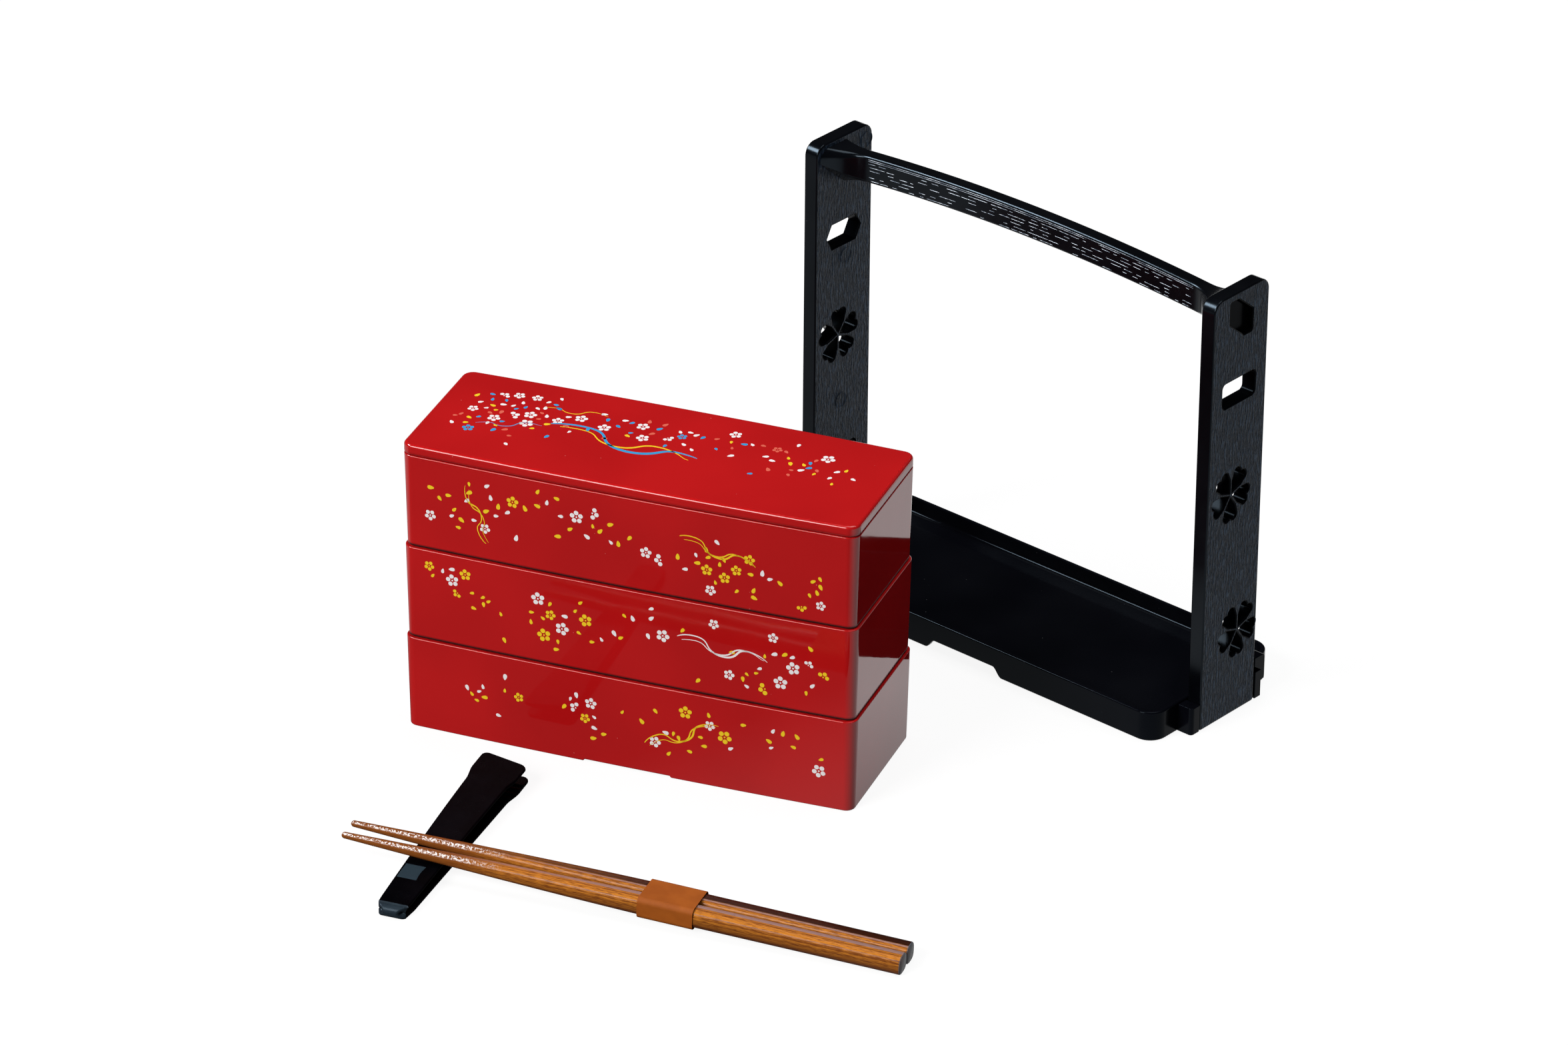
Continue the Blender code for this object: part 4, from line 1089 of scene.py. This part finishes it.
def makeTongs():
    s = tongsSizes
    half, end = s["arm"] / 2, s["length"]
    lower = bendStations(s["split"] + s["bendGap"] / s["bendRadius"], 3 * quarter, 16)
    teethStart = end - s["toothFromTip"] - s["teeth"] * s["toothPitch"]
    marks = [(y, 0.0) for y in evenly(s["bendRadius"], teethStart, 14)[1:-1]]
    marks += [(teethStart + (tooth + share) * s["toothPitch"], rise * s["toothHeight"])
              for tooth in range(s["teeth"]) for share, rise in s["toothShape"]]
    marks += [(end - s["tipRound"] * share, 0.0) for share in s["lowerTip"]]
    lower += [(y, half, pi, tongsWidth(y), half + rise, half, 0.0) for y, rise in sorted(marks)]
    makeArm("tongsLowerArm", "tongs_lower_arm", "tongs_base", lower, 0.0, s["edgeRound"])
    upper = bendStations(s["split"], quarter, 12)
    shoulder = end - s["shoulder"]
    steps = evenly(0.0, shoulder, 24)[1:] + [shoulder + s["shoulder"] * i / 24 for i in range(1, 21)]
    steps += [end - s["tipRound"] * share for share in s["upperTip"]]
    for y in sorted(set(steps)):
        ahead = min(y + half, end)
        lean = pi + atan2(tongsTop(ahead) - tongsTop(y - half), ahead - y + half)
        upper.append((y, tongsTop(y) - half, lean, tongsWidth(y), half, half, 0.0))
    makeArm("tongsUpperArm", "tongs_upper_arm", "tongs_top", upper, s["endSkew"], s["upperRound"])
    makeThumbPad()


makeTongs()
print("tongs made")


# Print: a scatter of plum blossoms, petals and loose lines

inkColours = {"white": (0.86, 0.83, 0.84), "gold": (0.86, 0.6, 0.022), "blue": (0.025, 0.33, 0.66),
              "salmon": (0.7, 0.13, 0.085)}
printSizes = {"thickness": 0.00004, "sunk": -0.0001, "blossom": 0.0027, "petal": 0.0012, "bow": 0.0012,
              "reach": 0.0855, "side": 0.08, "lid": (-0.026, 0.026), "wall": (0.003, 0.0364)}
# How many spots a drift gets, how far they stray, which motifs, and each one's least size, largest size and room
scatterRule = {"plenty": 1.35, "tries": 400, "stray": (0.68, 0.62), "motifs": (0.26, 0.06, 0.68), "white": 0.5,
               "blossomFit": (0.72, 1.08, 0.0031), "petalFit": (0.75, 1.15, 0.0014)}
# Shares of a motif's size
motifShares = {"petalOut": 0.64, "petalRound": 0.345, "heart": 0.13, "dropWidth": 0.58, "dropTaper": 0.35}
# How a wavy line leans, grows from its calm and thin ends, and swells
waveRule = {"lean": 0.3, "calm": 0.35, "thin": 0.25, "taper": 0.7, "swell": 0.25}
# Length, swing, turns, width and phase
lineSizes = {"m3Wave": (0.034, 0.003, 1.5, 0.00065, 0.0), "m4Strand": (0.031, 0.0022, 1.5, 0.00045, 0.7),
             "m5Ribbon": (0.054, 0.0052, 1.25, 0.0013, 0.2)}


def flatShape(bm, outline):
    rows = [[bm.verts.new((x, y, z)) for x, y in outline] for z in (printSizes["sunk"], printSizes["thickness"])]
    addSkin(bm, rows)
    bm.faces.new(rows[1])


def fillBlossom(bm, petals, size):
    out, radius, heart = (motifShares[key] * size for key in ("petalOut", "petalRound", "heart"))
    for i in range(petals):
        flatShape(bm, turned(circle(out, 0.0, radius, 10), quarter + fullTurn / 5 * i))
    flatShape(bm, circle(0.0, 0.0, heart, 8))


def fillDrop(bm, size):
    wide, taper = motifShares["dropWidth"], motifShares["dropTaper"]
    flatShape(bm, [(x, wide * (1 - taper * x / size) * y) for x, y in circle(0.0, 0.0, size, 12)])


def fillLine(bm, length, swing, turns, width, phase, count=90):
    rule, points, rings = waveRule, [], []
    for share in evenly(0.0, 1.0, count):
        angle, middle = turns * fullTurn * share + phase, sin(pi * share)
        x = length * (share - 0.5) - rule["lean"] * swing * sin(2 * angle)
        y = swing * sin(angle) * (rule["calm"] + (1 - rule["calm"]) * middle)
        wide = width * (rule["thin"] + (1 - rule["thin"]) * middle ** rule["taper"]) * (1 + rule["swell"] * cos(angle))
        points.append((Vector((x, y)), wide))
    for i, (point, wide) in enumerate(points):
        way = (points[min(i + 1, count)][0] - points[max(i - 1, 0)][0]).normalized()
        side = Vector((-way.y, way.x)) * wide / 2
        (a, b), (c, d), low, high = point + side, point - side, printSizes["sunk"], printSizes["thickness"]
        rings.append([(a, b, low), (c, d, low), (c, d, high), (a, b, high)])
    loft(rings, bm)
    bmesh.ops.recalc_face_normals(bm, faces=bm.faces)


def makeMotifs():
    # The names sort by the number that picks each motif
    size = printSizes["blossom"]
    recipes = {"m0Blossom": (fillBlossom, 5, size), "m1HalfBlossom": (fillBlossom, 3, size),
               "m2Drop": (fillDrop, printSizes["petal"])}
    recipes.update({name: (fillLine, *sizes) for name, sizes in lineSizes.items()})
    collection = bpy.data.collections.new("printMotifs")
    for name, (fill, *sizes) in recipes.items():
        bm = bmesh.new()
        fill(bm, *sizes)
        collection.objects.link(bpy.data.objects.new(name, toMesh(bm, name)))
    return collection


def printTree():
    tree, given, result = newGroup("scatteredPrint", {
        "Geometry": "Geometry", "Motifs": "Collection", "Bow": 0.0, "Bow Reach": 0.08, "Draft": 0.0,
        "Wall Height": 0.04}, {"Geometry": "Geometry"}, "GeometryNodeTree")
    info = addNode(tree, "GeometryNodeCollectionInfo", {
        "Collection": given["Motifs"], "Separate Children": True, "Reset Children": True})
    kind, turn, size = (addNode(tree, "GeometryNodeInputNamedAttribute", {"Name": label}, data_type=sort)["Attribute"]
                        for label, sort in (("kind", "INT"), ("turn", "FLOAT"), ("size", "FLOAT")))
    real = instanced(tree, {
        "Points": given["Geometry"], "Instance": info[0], "Pick Instance": True, "Instance Index": kind,
        "Rotation": join(tree, 0.0, 0.0, turn), "Scale": join(tree, size, size, 1.0)})
    x, y, z = pointParts(tree)
    fall = over(minus(given["Wall Height"], y), given["Wall Height"])
    out = minus(plus(z, bowed(x, given["Bow Reach"], given["Bow"])), times(fall, given["Draft"]))
    closeTree(result, movePoints(real, x, y, out), "ink")
    return tree


# Each drift is middle across, middle up, spread across, spread up, slope and count, in millimetres.
# Each line is motif, middle across, middle up, size, turn and ink.
tierInks = ("white", "gold", "gold")
printFaces = {
    "bottomTier": {
        "drifts": ((-56, 21, 10, 7, 0.2, 7), (-20, 22, 13, 9, -0.3, 8), (24, 21, 14, 8, 0.2, 11),
                   (62, 25, 12, 6, -0.2, 6)),
        "lines": ((3, 22, 20, 0.95, 0.42, "gold"), (4, 23, 19.6, 0.95, 0.5, "gold")),
        "inks": tierInks, "seed": 37,
    },
    "middleTier": {
        "drifts": ((-68, 27, 12, 6, -0.3, 9), (-30, 17, 12, 9, 0.2, 12), (12, 23, 20, 7, 0.2, 8),
                   (60, 17, 19, 9, 0.3, 15)),
        "lines": ((3, 38, 21, 1.05, -0.12, "white"), (4, 39, 20.6, 1.05, -0.05, "white")),
        "inks": tierInks, "seed": 23,
    },
    "topTier": {
        "drifts": ((-62, 22, 15, 9, 0.1, 15), (-16, 24, 19, 8, -0.25, 14), (34, 15, 17, 8, -0.2, 16),
                   (70, 12, 8, 6, 0.2, 5)),
        "lines": ((3, -60, 19, 0.72, 1.9, "gold"), (4, -59, 19, 0.72, 1.95, "gold"),
                  (3, 36, 23, 0.9, -0.25, "gold"), (4, 37, 22.5, 0.9, -0.18, "gold")),
        "inks": tierInks, "seed": 11,
    },
    "boxLid": {
        "drifts": ((-62, 4, 16, 15, 0.0, 38), (-8, 10, 30, 7, -0.1, 22), (52, 8, 22, 9, -0.1, 22)),
        "lines": ((5, -14, -1, 1.1, -0.12, "blue"), (4, -12, -1.6, 1.75, -0.1, "gold"),
                  (4, -58, -3, 0.8, 0.3, "blue"), (4, -38, 15, 0.8, 0.1, "gold")),
        "inks": ("white", "gold", "salmon", "blue", "white"), "seed": 53,
    },
}


def scatterPrint(face, low, high):
    rng, rule = random.Random(face["seed"]), scatterRule
    spots = [(kind, x / 1000, y / 1000, size, turn, ink, 0.0) for kind, x, y, size, turn, ink in face["lines"]]
    for x, y, wide, tall, slope, count in face["drifts"]:
        made = tries = 0
        while made < count * rule["plenty"] and tries < rule["tries"]:
            tries += 1
            u = rng.gauss(0, rule["stray"][0]) * wide
            spotX = (x + u) / 1000
            spotY = (y + rng.gauss(0, rule["stray"][1]) * tall + slope * u) / 1000
            kind = rng.choices((0, 1, 2), rule["motifs"])[0]
            least, most, share = rule["blossomFit" if kind < 2 else "petalFit"]
            size = rng.uniform(least, most)
            room = size * share
            if not (low + room < spotY < high - room and abs(spotX) < printSizes["side"]):
                continue
            if any(hypot(spotX - s[1], spotY - s[2]) < room + s[6] for s in spots):
                continue
            ink = rng.choice(face["inks"])
            if kind < 2 and rng.random() < rule["white"]:
                ink = "white"
            spots.append((kind, spotX, spotY, size, rng.uniform(0, fullTurn), ink, room))
            made += 1
    mesh = bpy.data.meshes.new("printSpots")
    mesh.from_pydata([(s[1], s[2], 0.0) for s in spots], [], [])
    for label, kind, column in (("kind", "INT", 0), ("turn", "FLOAT", 4), ("size", "FLOAT", 3)):
        mesh.attributes.new(label, kind, "POINT").data.foreach_set("value", [s[column] for s in spots])
    colours = [part for s in spots for part in (*inkColours[s[5]], 1.0)]
    mesh.attributes.new("inkColour", "FLOAT_COLOR", "POINT").data.foreach_set("color", colours)
    return mesh


def makePrint(name, body, base, tree, collection):
    s, onLid = boxSizes, name == "boxLid"
    source = scatterPrint(printFaces[name], *printSizes["lid" if onLid else "wall"])
    values = {"Motifs": collection, "Bow": 0.0 if onLid else printSizes["bow"], "Bow Reach": printSizes["reach"],
              "Draft": 0.0 if onLid else s["draft"], "Wall Height": s["wallHeight"]}
    mesh = grow(name + "Print", tree, values, source)
    place = Matrix.Translation((0, 0, base + s["lidHeight"]))
    if not onLid:
        place = Matrix.Translation((0, -s["width"] / 2, base)) @ Matrix.Rotation(quarter, 4, "X")
    settlePiece(mesh, stackPlace @ place, body, [], 30)


def makePrints():
    collection, tree = makeMotifs(), printTree()
    bodies = [(name, body) for name, node, body in tierBodies] + [("boxLid", "lid")]
    for index, (name, body) in enumerate(bodies):
        makePrint(name, body, index * tierPitch, tree, collection)
    for motif in list(collection.objects):
        bpy.data.objects.remove(motif, do_unlink=True)
    bpy.data.collections.remove(collection)


makePrints()
print("print made")


# Floor, backdrop colour and lights

studio = {
    "floorPale": (0.12, 0.12, 0.12),
    "floorReach": 8.0,
    "cameraLift": 0.9,
    "shineLow": 0.12,  # what gloss sees of the floor at the front left
    "shineHigh": 1.0,  # and at the back right
    "shineLeft": 0.45,  # and more at the back left
    "shineWay": (0.77, 0.64),
    "shineEdge": (-0.08, 0.07),
    "leftEdge": (0.14, 0.22),
    "sky": (0.92, 0.95, 1.0),
    "skyLight": 0.15,
    "skyShine": 0.035,
    "aim": (0, 0, 0.06),
    "lamps": (
        ("softKey", (-1.2, -2.2, 1.7), 1.3, 88, (1.0, 0.985, 0.965)),
        ("topPanel", (0.2, 0.5, 2.6), 1.6, 36, (1.0, 1.0, 1.0)),
        ("leftGlint", (-1.77, -0.6, 1.65), 0.8, 90, (0.9, 0.95, 1.0)),  # seen in gloss alone
    ),
}


def seenWhite(rays):
    return calc("MAXIMUM", rays["Is Camera Ray"], rays["Is Transmission Ray"])


def mixInto(surface, share, first, second):
    feed(surface, addNode(share.id_data, "ShaderNodeMixShader", {0: share, 1: first, 2: second})[0])


def makeFloor():
    size = studio["floorReach"]
    mesh = bpy.data.meshes.new("studioFloor")
    mesh.from_pydata([(-size, -size, 0), (size, -size, 0), (size, size, 0), (-size, size, 0)], [], [(0, 1, 2, 3)])
    material, tree, shader = blankMaterial("paleFloor")
    for label, value in (("Base Color", (*studio["floorPale"], 1)), ("Roughness", 0.9), ("Specular IOR Level", 0.0)):
        shader.inputs[label].default_value = value
    rays = addNode(tree, "ShaderNodeLightPath")
    lift = addNode(tree, "ShaderNodeEmission", {"Strength": times(seenWhite(rays), studio["cameraLift"])})[0]
    both = addNode(tree, "ShaderNodeAddShader", {0: shader.outputs[0], 1: lift})[0]
    x, y, z = split(objectCoords(tree))
    wayX, wayY = studio["shineWay"]
    distance = plus(times(x, wayX), times(y, wayY))
    across = ramp(distance, *studio["shineEdge"], studio["shineLow"], studio["shineHigh"])
    left = ramp(minus(y, x), *studio["leftEdge"], 0.0, studio["shineLeft"])
    shine = addNode(tree, "ShaderNodeEmission", {"Strength": plus(across, left)})[0]
    mixInto(tree.nodes["Material Output"].inputs["Surface"], rays["Is Glossy Ray"], both, shine)
    mesh.materials.append(material)
    floor = addObject("studioFloor", mesh)


def makeWorld():
    world = bpy.data.worlds.new("studioWorld")
    bpy.context.scene.world = world
    world.use_nodes = True
    tree, back = world.node_tree, world.node_tree.nodes["Background"]
    rays = addNode(tree, "ShaderNodeLightPath")
    back.inputs["Color"].default_value = (*studio["sky"], 1)
    feed(back.inputs["Strength"], ramp(rays["Is Glossy Ray"], 0.0, 1.0, studio["skyLight"], studio["skyShine"]))
    white = addNode(tree, "ShaderNodeBackground", {"Color": (1, 1, 1, 1)})[0]
    mixInto(tree.nodes["World Output"].inputs["Surface"], seenWhite(rays), back.outputs[0], white)


def makeLamps():
    for name, spot, size, power, colour in studio["lamps"]:
        data = bpy.data.lights.new(name, "AREA")
        data.size = size
        data.energy = power
        data.color = colour
        lamp = addObject(name, data)
        lamp.location = spot
        lamp.visible_diffuse = name != "leftGlint"
        lamp.rotation_euler = (Vector(studio["aim"]) - Vector(spot)).to_track_quat("-Z", "Y").to_euler()


makeFloor()
makeWorld()
makeLamps()
bpy.context.scene.view_settings.view_transform = "Standard"
print("studio lit")
